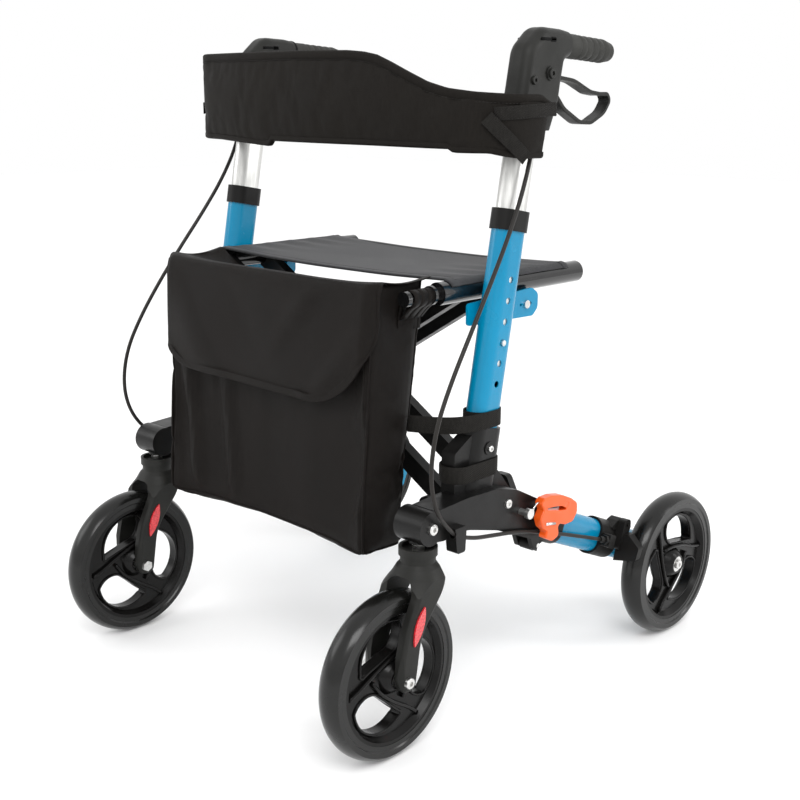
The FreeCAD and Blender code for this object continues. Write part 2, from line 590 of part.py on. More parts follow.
def make_rear_leg():
    """Oval leg tube, the sleeve with the hinge knuckle at its top, and the brake's clamp below it."""
    body = oval_tube("rear_leg_tube", [(1, "oval_radius")], [(1, "oval_radius"), (-1, "post_wall")],
                     "oval_half_gap", "leg_end - leg_start")
    body.Placement = Placement(on_leg(size("leg_start")), LEG_TURN)
    doc.recompute()
    drill = rod("rear_leg_axle_hole", "axle_radius", 60, size("leg_x") - 30, "rear_axle_y", "wheel_radius")
    left(less("rear_leg_tube_drilled", body, drill), "rear_leg_tube")

    start, end = 0.4, size("sleeve_length")
    sleeve = leg_oval(size("sleeve_radius"), size("oval_half_gap"), start, end)
    pivot = hinge_point()
    knuckle = pin_x(8, pivot.y, pivot.z, 245.3, 262.7)
    a, b, c = on_leg(0.4, -20), on_leg(20, -22), on_leg(7, -32)
    arm = side_plate([(a.y, a.z), (b.y, b.z), (c.y, c.z), (pivot.y, pivot.z)], 245.3, 262.7)
    shape = sleeve.fuse([knuckle, arm])
    seat = leg_oval(size("oval_radius") + 0.1, size("oval_half_gap"), size("leg_start") - 0.2, end + 1)
    pin_hole = pin_x(size("hinge_pin_radius") + size("running_gap"), pivot.y, pivot.z, 240, 268)
    shape = shape.cut([seat, pin_hole])
    left(shaped("leg_sleeve", shape.removeSplitter()), "leg_sleeve")

    bracket = leg_oval(18.2, size("oval_half_gap"), 134, 176)
    hub = on_leg(*BRAKE_PIVOT)
    e, f, g = on_leg(156, 17), on_leg(172, 12), on_leg(186, 25)
    ear = side_plate([(e.y, e.z), (f.y, f.z), (g.y, g.z), (hub.y + 2, hub.z + 8), (hub.y - 9, hub.z + 5)],
                     256, 272, [0, 0, 6, 5, 4])
    boss = pin_x(3, hub.y, hub.z, 266, 285)
    block_points = [on_leg(along, rise) for along, rise in ((136, 8), (150, 8), (150, -10), (136, -10))]
    block = side_plate([(point.y, point.z) for point in block_points], 268, 286, 3)
    cable_end = LOWER_CABLE[-1]
    cable_way = (cable_end - LOWER_CABLE[-2]).normalize()
    adjuster = Part.makeCylinder(4.2, 20, cable_end, cable_way)
    adjuster_nut = hexagon(12, 5, cable_end + cable_way * 9, cable_way)
    bracket = bracket.fuse([ear, boss, block, adjuster, adjuster_nut])
    bracket = bracket.cut(leg_oval(size("oval_radius") + 0.1, size("oval_half_gap"), 110, 200))
    left(shaped("brake_bracket", bracket.removeSplitter()), "brake_bracket")


def make_brake_arm():
    """Arm hinged over the leg, whose tapered shoe reaches across the tread with a small gap."""
    hub = on_leg(*BRAKE_PIVOT)
    tread = size("wheel_radius") + SHOE_GAP
    shoe_inner = pin_x(tread, REAR_AXLE.y, REAR_AXLE.z, 270, 325)
    shoe = pin_x(tread + 10, REAR_AXLE.y, REAR_AXLE.z, 276, 310).cut(shoe_inner)
    window = side_plate([(hub.y - 38, hub.z - 12), (hub.y + 6, hub.z - 12), (hub.y + 6, hub.z - 47),
                         (hub.y - 38, hub.z - 47)], 270, 320)
    taper = front_plate([(270, hub.z - 8), (286, hub.z - 10), (310, hub.z - 24), (310, hub.z - 40),
                         (270, hub.z - 48)], 100, 220, [0, 6, 4, 4, 0])
    shoe = shoe.common(window).common(taper)
    arm = side_plate([(hub.y - 7, hub.z + 7), (hub.y + 7, hub.z + 7), (hub.y + 7, hub.z - 5),
                      (hub.y - 5, hub.z - 26), (hub.y - 12, hub.z - 34), (hub.y - 22, hub.z - 30)],
                     272.4, 283, [6.5, 6.5, 5, 10, 2, 4])
    shape = arm.cut(shoe_inner).fuse(shoe)
    shape = shape.cut(pin_x(3 + size("running_gap"), hub.y, hub.z, 270, 290))
    left(shaped("brake_arm", shape.removeSplitter()), "brake_arm")


def make_latch():
    """Draw-latch lever on the outer face of the leg's sleeve: a strap toward the T-bolt, and a finger hook."""
    inner, outer = 279, 290
    outline = [(-36, 237), (-29, 247), (-35, 257), (-28, 262), (-12, 262), (8, 258), (28, 249), (41, 240),
               (41, 227), (32, 217), (16, 217), (0, 223), (4, 206), (-10, 202), (-25, 210), (-21, 217),
               (-31, 225)]
    lever = side_plate(outline, inner, outer, [5, 2, 4, 4, 20, 30, 16, 8, 8, 7, 8, 4, 6, 6, 3, 3, 5])
    rims = [edge for edge in lever.Edges if edge.BoundBox.XMin > outer - 0.01]
    lever = lever.makeFillet(1.8, rims)
    window = [(-25, 248.5), (-8, 247), (8, 244), (22, 236), (4, 239), (-22, 245.5)]
    lever = lever.cut(side_plate(window, inner - 10, outer + 10, [1, 10, 20, 1.2, 20, 1]))
    pin = pin_x(3.5, 12, 226, 271.7, inner)
    left(shaped("latch_lever", lever.fuse(pin).removeSplitter()), "latch_lever")


# ---- handles ----------------------------------------------------------------------------------------------

GRIP_START = Vector(238, 38, 794)
HOUSING_ROUND = 12


def grip_axis():
    tilt = math.radians(size("grip_tilt"))
    return Vector(0, math.cos(tilt), -math.sin(tilt))


def make_handle():
    body = oval_tube("handle_tube", [(1, "inner_radius")], [(1, "inner_radius"), (-1, "inner_wall")],
                     "oval_half_gap", "inner_length")
    body.Placement = Placement(on_post(size("inner_start")), POST_TURN)
    doc.recompute()
    button = on_post(size("button_at"))
    drill = rod("handle_tube_hole", 3.8, 20, size("post_x"), button.y, button.z)
    left(less("handle_tube_drilled", body, drill), "handle_tube")

    inner, outer, mouth, foot = 223, 257, GRIP_START.y, 697
    outline = [(-62, foot), (-51, 745), (-42, 790), (-15, 812.5), (24, 811), (mouth, 809), (mouth, 779),
               (29, 775), (24, 752), (20, 728), (6, foot)]
    solid = side_plate(outline, inner, outer, [0, 40, 26, 24, 20, 0, 0, 6, 30, 30, 0])
    rims = [edge for edge in solid.Edges if edge.BoundBox.XLength < 0.01
            and edge.BoundBox.YMin < mouth - 0.1 and edge.BoundBox.ZMax > foot + 1]
    solid = solid.makeFillet(HOUSING_ROUND, rims)
    neck = Part.makeCylinder(15.2, 12, GRIP_START - grip_axis() * 12, grip_axis())
    spigot = Part.makeCylinder(size("spigot_radius"), size("grip_length") - 8, GRIP_START, grip_axis())
    cable_way = (UPPER_CABLE[0] - UPPER_CABLE[1]).normalize()
    ferrule = Part.makeCylinder(4, 18, UPPER_CABLE[0], cable_way)
    clip = Part.makeBox(12, 8, 12, Vector(250, -37, 705))
    y, z = size("lever_pivot_y"), size("lever_pivot_z")
    boss_face = outer + 2
    boss = pin_x(8, y, z, outer - 8, boss_face)
    shape = solid.fuse([neck, spigot, ferrule, clip, boss])
    tube_end = size("inner_start") + size("inner_length")
    bore = post_oval(size("inner_radius") + 0.1, size("oval_half_gap"), 400, tube_end + 0.5)
    slot = side_plate([(-15, 728), (-15, 774), (60, 774), (60, 728)], 229.5, 246.5)
    shape = shape.cut([bore, slot])
    bolt = pin_x(4, y, z, inner + 1, boss_face)
    bolt_head = socket_head(6, 3, Vector(boss_face, y, z), Vector(1, 0, 0))
    screw = socket_head(5, 3, Vector(outer, -34, 753), Vector(1, 0, 0))
    shape = shape.fuse([bolt, bolt_head, screw])
    left(shaped("handle_housing", shape.removeSplitter()), "handle_housing")


def make_grip():
    """Hollow rubber grip: a smooth collar, then raised rings, and a rounded closed end."""
    body = doc.addObject("PartDesign::Body", "grip")
    radius, length, bore = size("grip_radius"), size("grip_length"), size("spigot_radius") + 0.1
    start, valley, first, ribs = 1.3, radius - 0.8, 28, 5
    points = [(start, bore), (start, radius), (26, radius + 0.4), (first, valley)]
    arcs = []
    step = (length - 14 - first) / ribs
    for k in range(ribs):
        arcs.append((len(points) - 1, (first + (k + 0.5) * step, radius + 0.2)))
        points.append((first + (k + 1) * step, valley))
    points += [(length - 4, radius - 2.5), (length, radius - 6), (length, 0), (length - 6, 0),
               (length - 6, bore)]
    revolved(body, "grip", points, arcs)
    body.Placement = Placement(GRIP_START, Rotation(Vector(1, 0, 0), grip_axis()))
    left(body, "grip")


def make_brake_lever():
    """Loop lever: a band of even width bent round a long finger opening, on a pivot in the housing."""
    y, z = size("lever_pivot_y"), size("lever_pivot_z")
    inner, outer, wall = 230, 246, 4.6
    outline = [(y - 7, z + 4), (y + 3, z + 9), (24, 760), (62, 756), (97, 743), (116, 741), (133, 741),
               (141, 731), (128, 714), (100, 702), (74, 703), (40, 719), (20, 738), (y - 6, z - 7)]
    radii = [5, 6, 20, 60, 40, 20, 7, 9, 30, 20, 30, 40, 20, 6]
    loop = side_plate(outline, inner, outer, radii)
    rims = [edge for edge in loop.Edges if edge.BoundBox.XLength < 0.01]
    loop = loop.makeFillet(1.8, rims)
    plan = path([Vector(inner - 5, py, pz) for py, pz in outline], radii, closed=True)
    room = Part.Face(plan).makeOffset2D(-wall).extrude(Vector(outer - inner + 10, 0, 0))
    beyond_pivot = Part.makeBox(60, 200, 200, Vector(inner - 20, 20, 650))
    loop = loop.cut(room.common(beyond_pivot))
    loop = loop.cut(pin_x(4 + size("running_gap"), y, z, inner - 10, outer + 10))
    left(shaped("brake_lever", loop.removeSplitter()), "brake_lever")


def make_snap_button():
    point = on_post(size("button_at"))
    head = rod("button_head", 3.5, 9, 248.7, point.y, point.z)
    flange = rod("button_flange", 5.4, 2.5, 248.7, point.y, point.z)
    left(joined("snap_button", [head, flange]), "snap_button")


# ---- brake cables -----------------------------------------------------------------------------------------

UPPER_CABLE = [Vector(*p) for p in (
    (261, -33, 703), (262, -42, 668), (267, -66, 620), (273, -98, 574), (279, -134, 528), (283.5, -170, 481),
    (286, -203, 434), (287.5, -227, 390), (287.5, -236, 343), (286, -228, 303), (281.5, -206, 272),
    (277, -178, 251))]
LOWER_CABLE = [Vector(*p) for p in (
    (277, -178, 251), (275, -152, 240), (274.6, -112, 233), (274.4, -66, 225.5), (274.4, -20, 213.5),
    (275, 26, 198.5), (277, 70, 183.5), (279.5, 110, 169.5))]


def make_cable(label, points):
    """A tube along straight runs joined by tangent arcs, each as large as its two runs allow."""
    radii = [0] * len(points)
    for i in range(1, len(points) - 1):
        before, after = points[i - 1] - points[i], points[i + 1] - points[i]
        half_turn = (math.pi - before.getAngle(after)) / 2
        radii[i] = 0.45 * min(before.Length, after.Length) / math.tan(half_turn)
    route = path(points, radii)
    print(label, "length", round(route.Length, 1), "radii", [round(r) for r in radii[1:-1]])
    section = Part.Wire([Part.Circle(points[0], points[1] - points[0], size("cable_radius")).toShape()])
    tube = route.makePipeShell([section], True, True)
    expected = math.pi * size("cable_radius") ** 2 * route.Length
    assert abs(tube.Volume - expected) < 0.01 * expected, label + " has the wrong volume"
    left(shaped(label, tube), label)


# ---- cross frames and seat --------------------------------------------------------------------------------

FRONT_BARS = (-122, -106)
BACK_BARS = (-52, -36)


def make_cross_frame(label, side, bar_starts, rail_label):
    """Two bars from the pivot sleeve on one side up to the seat rail on the other side."""
    foot = Vector(side * size("pivot_x"), 0, size("pivot_z"))
    head = Vector(-side * size("rail_x"), 0, size("rail_z"))
    along = head - foot
    across = Vector(-along.z, 0, along.x).normalize() * (size("bar_height") / 2)
    corners = [foot + across, head + across, head - across, foot - across, foot + across]
    shape = Part.makeCylinder(size("pivot_sleeve_radius"), size("sleeve_back") - size("sleeve_front"),
                              Vector(foot.x, size("sleeve_front"), foot.z), Vector(0, 1, 0))
    for start in bar_starts:
        bar = Part.Face(Part.makePolygon([c + Vector(0, start, 0) for c in corners]))
        shape = shape.fuse(bar.extrude(Vector(0, size("bar_thick"), 0)))
    centre_z = foot.z + along.z * size("pivot_x") / (size("pivot_x") + size("rail_x"))
    rail_room = Part.makeCylinder(size("rail_radius"), 400, Vector(head.x, -200, head.z), Vector(0, 1, 0))
    pin_room = Part.makeCylinder(size("pivot_pin_radius") + size("running_gap"), 400,
                                 Vector(foot.x, -200, foot.z), Vector(0, 1, 0))
    bolt_gap = 0 if side > 0 else size("running_gap")
    bolt_room = Part.makeCylinder(4 + bolt_gap, 400, Vector(0, -200, centre_z), Vector(0, 1, 0))
    shape = shape.cut([rail_room, pin_room, bolt_room])
    shared(shaped(label, shape.removeSplitter()), label)

    tube = ring(rail_label + "_tube", "rail_radius", "rail_radius - rail_wall", "rail_back - rail_front",
                -side * size("rail_x"), "rail_front", "rail_z", "Y")
    plug = joined(rail_label + "_back_plug", [
        rod(rail_label + "_plug_flange", "rail_radius", 3, -side * size("rail_x"), "rail_back", "rail_z", "Y"),
        rod(rail_label + "_plug_core", "rail_radius - rail_wall", 15, -side * size("rail_x"),
            "rail_back - 15", "rail_z", "Y")])
    stub = joined(rail_label + "_stub", [
        rod(f"{rail_label}_stub_{name}", radius, length, -side * size("rail_x"), start, "rail_z", "Y")
        for name, radius, length, start in (
            ("core", "rail_radius - rail_wall", 15, "rail_front"),
            ("flange", "rail_radius", 3, "rail_front - 3"),
            ("neck", 8, 9, "rail_front - 12"),
            ("disc", 11, 4, "rail_front - 16"),
            ("rod", 5.5, 38, "rail_front - 53"),
            ("cap", 9, 6, "rail_front - 59"))])
    shared(together(rail_label, [tube, plug, stub]), rail_label)
    return centre_z


def make_cross_bolts(centre_z):
    bolts = []
    for front, back in ((FRONT_BARS[0], FRONT_BARS[1]), (BACK_BARS[0], BACK_BARS[1])):
        start, end = front - 1, back + size("bar_thick") + 1
        bolt = Part.makeCylinder(4, end - start, Vector(0, start, centre_z), Vector(0, 1, 0))
        head = hexagon(13, 5, Vector(0, start, centre_z), Vector(0, -1, 0))
        nut = hexagon(13, 5, Vector(0, end, centre_z), Vector(0, 1, 0))
        bolts.append(shaped(f"cross_bolt_{len(bolts)}", bolt.fuse([head, nut])))
    shared(together("cross_bolts", bolts), "cross_bolts")


def make_seat():
    sling = doc.addObject("Part::Box", "seat_sling")
    bind(sling, "Length", "2 * rail_x")
    bind(sling, "Width", "seat_back - seat_front")
    bind(sling, "Height", "seat_thick")
    put(sling, "-rail_x", "seat_front", "rail_z + rail_radius + 0.4")
    shared(sling, "seat_sling")


# ---- soft goods -------------------------------------------------------------------------------------------

def make_bag():
    half, low, high = size("bag_half_width"), size("bag_bottom"), size("bag_top")
    outline = [(-240, low), (-222, high), (-212, high), (-140, high - 30), (-176, low)]
    shared(shaped("bag", side_plate(outline, -half, half, [8, 3, 6, 8, 12])), "bag")


def band_plan(inset):
    """The band's plan: straight along each handle, round the front corners and bowed in front."""
    half = size("band_half_width") - inset
    front = inset - 112
    end = size("band_end")
    points = [Vector(half, end, 0), Vector(half, front, 0), Vector(0, front - 30, 0), Vector(-half, front, 0),
              Vector(-half, end, 0)]
    return points, [0, 55 - inset, 700, 55 - inset, 0]


def make_backrest():
    outer_points, outer_radii = band_plan(0)
    inner_points, inner_radii = band_plan(size("band_thick"))
    outer, inner = path(outer_points, outer_radii), path(inner_points, inner_radii)
    ends = [Part.LineSegment(outer_points[k], inner_points[k]).toShape() for k in (0, -1)]
    plan = Part.Wire(Part.__sortEdges__(outer.Edges + inner.Edges + ends))
    slab = Part.Face(plan).extrude(Vector(0, 0, 140))
    slab.translate(Vector(0, 0, 660))
    outline = [(-290, 676), (-200, 676), (-82, 671), (-78, 678), (204, 678), (208, 674), (290, 668), (290, 736),
               (200, 742), (150, 760), (104, 782), (60, 786), (-290, 788)]
    face = front_plate(outline, -200, 40, [0, 0, 1, 1, 1, 1, 0, 0, 40, 30, 30, 40, 0])
    shared(shaped("backrest", slab.common(face)), "backrest")


# ---- build, check and write -------------------------------------------------------------------------------

def mirror_right():
    """The right side's nodes: mirror images of the left side's, linked to them."""
    nodes = []
    for item, label in left_nodes:
        mirror = doc.addObject("Part::Mirroring", label + "_right")
        mirror.Source = item
        mirror.Base = Vector(0, 0, 0)
        mirror.Normal = Vector(1, 0, 0)
        mirror.Label = label + "_right"
        nodes.append((mirror, label + "_right"))
    return nodes


def main():
    make_wheels()
    make_casters()
    make_post()
    make_side_casting()
    make_seat_bracket()
    make_frame_screws()
    make_rear_leg()
    make_brake_arm()
    make_latch()
    make_handle()
    make_grip()
    make_brake_lever()
    make_snap_button()
    make_cable("brake_cable_upper", UPPER_CABLE)
    make_cable("brake_cable_lower", LOWER_CABLE)
    centre_z = make_cross_frame("cross_frame_a", 1, (FRONT_BARS[0], BACK_BARS[0]), "seat_rail_right")
    make_cross_frame("cross_frame_b", -1, (FRONT_BARS[1], BACK_BARS[1]), "seat_rail_left")
    make_cross_bolts(centre_z)
    make_seat()
    make_bag()
    make_backrest()
    nodes = [(item, label + "_left") for item, label in left_nodes] + mirror_right() + shared_nodes
    doc.recompute()
    for item in doc.Objects:
        if "Invalid" in item.State or "Error" in item.State:
            raise RuntimeError(f"{item.Name} did not build: {item.State}")
    os.makedirs("parts", exist_ok=True)
    for item, label in nodes:
        shape = item.Shape
        if shape.isNull() or not shape.isValid() or not shape.Solids:
            raise RuntimeError(f"{label} has no valid solid")
        shape.exportStep(f"parts/{label}.step")
    whole = Part.makeCompound([item.Shape for item, label in nodes])
    box = whole.BoundBox
    print(len(nodes), "nodes; box", [round(v, 1) for v in (box.XMin, box.XMax, box.YMin, box.YMax, box.ZMin,
                                                          box.ZMax)])
    print("cross frame centre height", round(centre_z, 3))


main()
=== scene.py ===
"""Looks of a folding rollator walker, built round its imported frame.

Metres, in the walker's own frame: +X is the left side frame, -Y the front with the bag, +Z up.
The floor is at 0.
"""
import cmath
import json
import math

import bpy
from mathutils import Matrix, Vector, noise
from mathutils.bvhtree import BVHTree


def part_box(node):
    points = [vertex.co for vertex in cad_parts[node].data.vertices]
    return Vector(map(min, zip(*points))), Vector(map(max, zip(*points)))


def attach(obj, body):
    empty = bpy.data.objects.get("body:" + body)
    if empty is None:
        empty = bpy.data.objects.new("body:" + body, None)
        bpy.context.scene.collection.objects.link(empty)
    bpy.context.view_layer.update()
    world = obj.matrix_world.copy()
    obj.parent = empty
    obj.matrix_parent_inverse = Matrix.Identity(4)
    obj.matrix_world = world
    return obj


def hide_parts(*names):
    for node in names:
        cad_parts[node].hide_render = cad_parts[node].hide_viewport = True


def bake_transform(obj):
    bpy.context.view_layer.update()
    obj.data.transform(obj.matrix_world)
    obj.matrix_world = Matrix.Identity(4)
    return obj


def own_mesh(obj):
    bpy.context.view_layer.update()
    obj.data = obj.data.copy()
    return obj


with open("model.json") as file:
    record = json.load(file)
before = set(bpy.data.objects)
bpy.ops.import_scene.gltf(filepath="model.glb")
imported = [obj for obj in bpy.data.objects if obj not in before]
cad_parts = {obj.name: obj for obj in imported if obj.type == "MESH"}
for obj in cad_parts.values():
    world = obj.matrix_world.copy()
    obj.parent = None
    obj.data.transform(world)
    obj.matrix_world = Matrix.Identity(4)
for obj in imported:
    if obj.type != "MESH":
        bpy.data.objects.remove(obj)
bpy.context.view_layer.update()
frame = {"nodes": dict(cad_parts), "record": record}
SIDES = {"left": 1, "right": -1}
UP = Vector((0, 0, 1))
BACK = Vector((0, 1, 0))
OUT = Vector((1, 0, 0))

# the posts, the seat rails and the grip's start, as the frame has them
POST_LEAN = math.radians(10.48)
POST_AXIS = Vector((0, math.sin(POST_LEAN), math.cos(POST_LEAN)))
POST_FOOT = Vector((0.240, -0.112, 0.262))
RAIL_X, RAIL_Z, RAIL_RADIUS = 0.205, 0.515, 0.0135
GRIP_START = Vector((0.238, 0.038, 0.794))


# ---- camera and studio ----

CAMERA_PLACE = (1.1139, -1.1630, 0.7376)
CAMERA_AZIMUTH, CAMERA_PITCH, CAMERA_ROLL = 43.24, -14.24, 0.34
CAMERA_LENS = 54.34
FLOOR_HALF = 9


def assign(item, **values):
    for prop, value in values.items():
        setattr(item, prop, value)


def linked(name, data):
    item = bpy.data.objects.new(name, data)
    bpy.context.scene.collection.objects.link(item)
    return item


def add_camera():
    data = bpy.data.cameras.new("camera")
    assign(data, lens=CAMERA_LENS, clip_start=0.05, clip_end=40)
    camera = linked("camera", data)
    camera.matrix_world = (
        Matrix.Translation(CAMERA_PLACE)
        @ Matrix.Rotation(math.radians(CAMERA_AZIMUTH), 4, "Z")
        @ Matrix.Rotation(math.radians(90 + CAMERA_PITCH), 4, "X")
        @ Matrix.Rotation(math.radians(CAMERA_ROLL), 4, "Z"))
    bpy.context.scene.camera = camera


def add_light(name, place, target, width, power):
    data = bpy.data.lights.new(name, "AREA")
    assign(data, shape="RECTANGLE", size=width[0], size_y=width[1], energy=power)
    aim = (Vector(target) - Vector(place)).to_track_quat("-Z", "Y")
    assign(linked(name, data), location=place, rotation_mode="QUATERNION", rotation_quaternion=aim)


def add_studio():
    scene = bpy.context.scene
    scene.view_settings.view_transform = "Standard"
    world = bpy.data.worlds.new("studio")
    world.use_nodes = True
    set_inputs(world.node_tree.nodes["Background"], Color=(1, 1, 1, 1), Strength=1.0)
    scene.world = world
    sun = bpy.data.lights.new("overhead", "SUN")
    assign(sun, energy=0.5, angle=math.radians(150))
    linked("overhead", sun)
    add_light("key", (1.6, -1.5, 2.3), (0, 0, 0.4), (1.5, 1.1), 34)
    add_light("rim", (1.9, 1.3, 1.3), (0.1, 0, 0.5), (0.5, 1.6), 15)
    add_light("fill", (-1.9, -1.7, 1.5), (0, 0, 0.4), (1.3, 1.3), 12)
    corners = [(FLOOR_HALF * x, FLOOR_HALF * y, 0) for x, y in ((-1, -1), (1, -1), (1, 1), (-1, 1))]
    floor = mesh_piece("floor", corners, [(0, 1, 2, 3)], MATERIALS["floor"], smooth=False)


# ---- materials ----

def set_inputs(item, **sockets):
    for socket, value in sockets.items():
        item.inputs[socket.replace("_", " ")].default_value = value


def new_material(name, colour, roughness, **sockets):
    material = bpy.data.materials.new(name)
    material.use_nodes = True
    shader = material.node_tree.nodes["Principled BSDF"]
    set_inputs(shader, Base_Color=(*colour, 1), Roughness=roughness, **sockets)
    return material


def add_node(material, kind, settings=(), **sockets):
    """A node with its settings and its input values."""
    item = material.node_tree.nodes.new("ShaderNode" + kind)
    assign(item, **dict(settings))
    set_inputs(item, **sockets)
    return item


def join(material, output, target):
    material.node_tree.links.new(output, target)


def place_output(material, scale=(1, 1, 1)):
    """Scaled object coordinates."""
    source = add_node(material, "TexCoord")
    mapping = add_node(material, "Mapping", Scale=scale)
    join(material, source.outputs["Object"], mapping.inputs["Vector"])
    return mapping.outputs[0]


def noise_output(material, scale, detail, stretch=(1, 1, 1)):
    texture = add_node(material, "TexNoise", Scale=scale, Detail=detail)
    join(material, place_output(material, stretch), texture.inputs["Vector"])
    return texture.outputs["Fac"]


def vary_colour(material, output, low, high, span=(0.3, 0.7)):
    """Base colour between two colours as a texture goes over a span of its values."""
    ramp = add_node(material, "ValToRGB")
    for element, place, colour in zip(ramp.color_ramp.elements, span, (low, high)):
        assign(element, position=place, color=(*colour, 1))
    join(material, output, ramp.inputs["Fac"])
    join(material, ramp.outputs["Color"], material.node_tree.nodes["Principled BSDF"].inputs["Base Color"])


def vary_roughness(material, output, low, high):
    spread = add_node(material, "MapRange", From_Min=0.3, From_Max=0.7, To_Min=low, To_Max=high)
    join(material, output, spread.inputs["Value"])
    join(material, spread.outputs["Result"], material.node_tree.nodes["Principled BSDF"].inputs["Roughness"])


def add_bump(material, output, distance):
    """Adds a bump on top of any the material has already."""
    shader = material.node_tree.nodes["Principled BSDF"]
    bump = add_node(material, "Bump", Strength=1, Distance=distance)
    join(material, output, bump.inputs["Height"])
    for wire in list(shader.inputs["Normal"].links):
        join(material, wire.from_socket, bump.inputs["Normal"])
    join(material, bump.outputs["Normal"], shader.inputs["Normal"])


def math_output(material, operation, *values):
    item = add_node(material, "Math", {"operation": operation})
    for target, value in zip(item.inputs, values):
        if isinstance(value, (int, float)):
            target.default_value = value
        else:
            join(material, value, target)
    return item.outputs[0]


def weave_output(material, pitch):
    """Plain weave: threads across, round the piece, and threads up it."""
    parts = add_node(material, "SeparateXYZ")
    join(material, place_output(material), parts.inputs[0])
    waves = []
    for main, slant in (("X", 0.83), ("Z", 0.41)):
        skew = math_output(material, "MULTIPLY", parts.outputs["Y"], slant)
        place = math_output(material, "ADD", parts.outputs[main], skew)
        turned = math_output(material, "MULTIPLY", place, 2 * math.pi / pitch)
        waves.append(math_output(material, "SINE", turned))
    return math_output(material, "MULTIPLY", *waves)


DULL = 0.10  # specular level of cloth and of the painted shade in gaps


def coated_metal(name, colour, shade, roughness, coat, peel, gloss=0.5):
    """Powder coat or paint: slight colour drift, orange peel and a clear gloss."""
    material = new_material(name, colour, roughness, Coat_Weight=coat, Coat_Roughness=0.07,
                            Specular_IOR_Level=gloss)
    drift = noise_output(material, 9, 4)
    vary_colour(material, drift, shade, colour)
    vary_roughness(material, noise_output(material, 60, 5), roughness * 0.8, roughness * 1.3)
    add_bump(material, noise_output(material, 700, 2), peel)
    return material


def bare_metal(name, colour, roughness, stretch):
    """Drawn or brushed metal with fine streaks along one direction."""
    material = new_material(name, colour, roughness, Metallic=1.0)
    streaks = noise_output(material, 240, 3, stretch)
    dim = tuple(0.82 * part for part in colour)
    vary_colour(material, streaks, dim, colour)
    vary_roughness(material, noise_output(material, 35, 4), roughness * 0.7, roughness * 1.35)
    add_bump(material, streaks, 0.00002)
    return material


def moulded(name, colour, roughness, grain, depth, **sockets):
    """Moulded plastic or rubber: fine grain, a little colour drift, dull patches where it is handled."""
    material = new_material(name, colour, roughness, **sockets)
    dark = tuple(0.72 * part for part in colour)
    vary_colour(material, noise_output(material, 25, 5), dark, colour)
    vary_roughness(material, noise_output(material, 40, 6), roughness * 0.82, min(1, roughness * 1.2))
    add_bump(material, noise_output(material, grain, 2), depth)
    return material


def woven(name, colour, light, roughness, pitch, depth, sheen):
    """Woven cloth: threads, slubs that catch the light, and soft mottling."""
    material = new_material(name, colour, roughness, Sheen_Weight=sheen, Sheen_Roughness=0.4,
                            Specular_IOR_Level=DULL)
    threads = weave_output(material, pitch)
    slubs = noise_output(material, 420, 4, (1, 1, 0.25))
    soft = noise_output(material, 14, 4)
    mixed = math_output(material, "ADD", math_output(material, "MULTIPLY", slubs, 0.5),
                        math_output(material, "MULTIPLY", soft, 0.5))
    vary_colour(material, mixed, colour, light, (0.35, 0.65))
    vary_roughness(material, soft, roughness * 0.9, min(1, roughness * 1.1))
    add_bump(material, soft, 0.0007)
    add_bump(material, slubs, 0.00012)
    add_bump(material, threads, depth)
    return material


def reflector_plastic():
    """Clear red lens over a field of small prisms, each prism painted lighter in its middle and darker at its
    edges as painted highlight and shade of its facets.
    """
    material = new_material("reflector", (0.62, 0.015, 0.025), 0.16, Coat_Weight=0.8, Coat_Roughness=0.05)
    cells = add_node(material, "TexVoronoi", {"feature": "F1"}, Scale=420)
    join(material, place_output(material), cells.inputs["Vector"])
    # painted highlight at each prism's middle, painted shade toward its edges
    vary_colour(material, cells.outputs["Distance"], (0.75, 0.03, 0.04), (0.42, 0.006, 0.012), (0.1, 0.8))
    add_bump(material, cells.outputs["Distance"], 0.0005)
    return material


def floor_paint():
    material = new_material("floor", (0.93, 0.93, 0.93), 0.8)
    vary_roughness(material, noise_output(material, 6, 3), 0.75, 0.85)
    return material


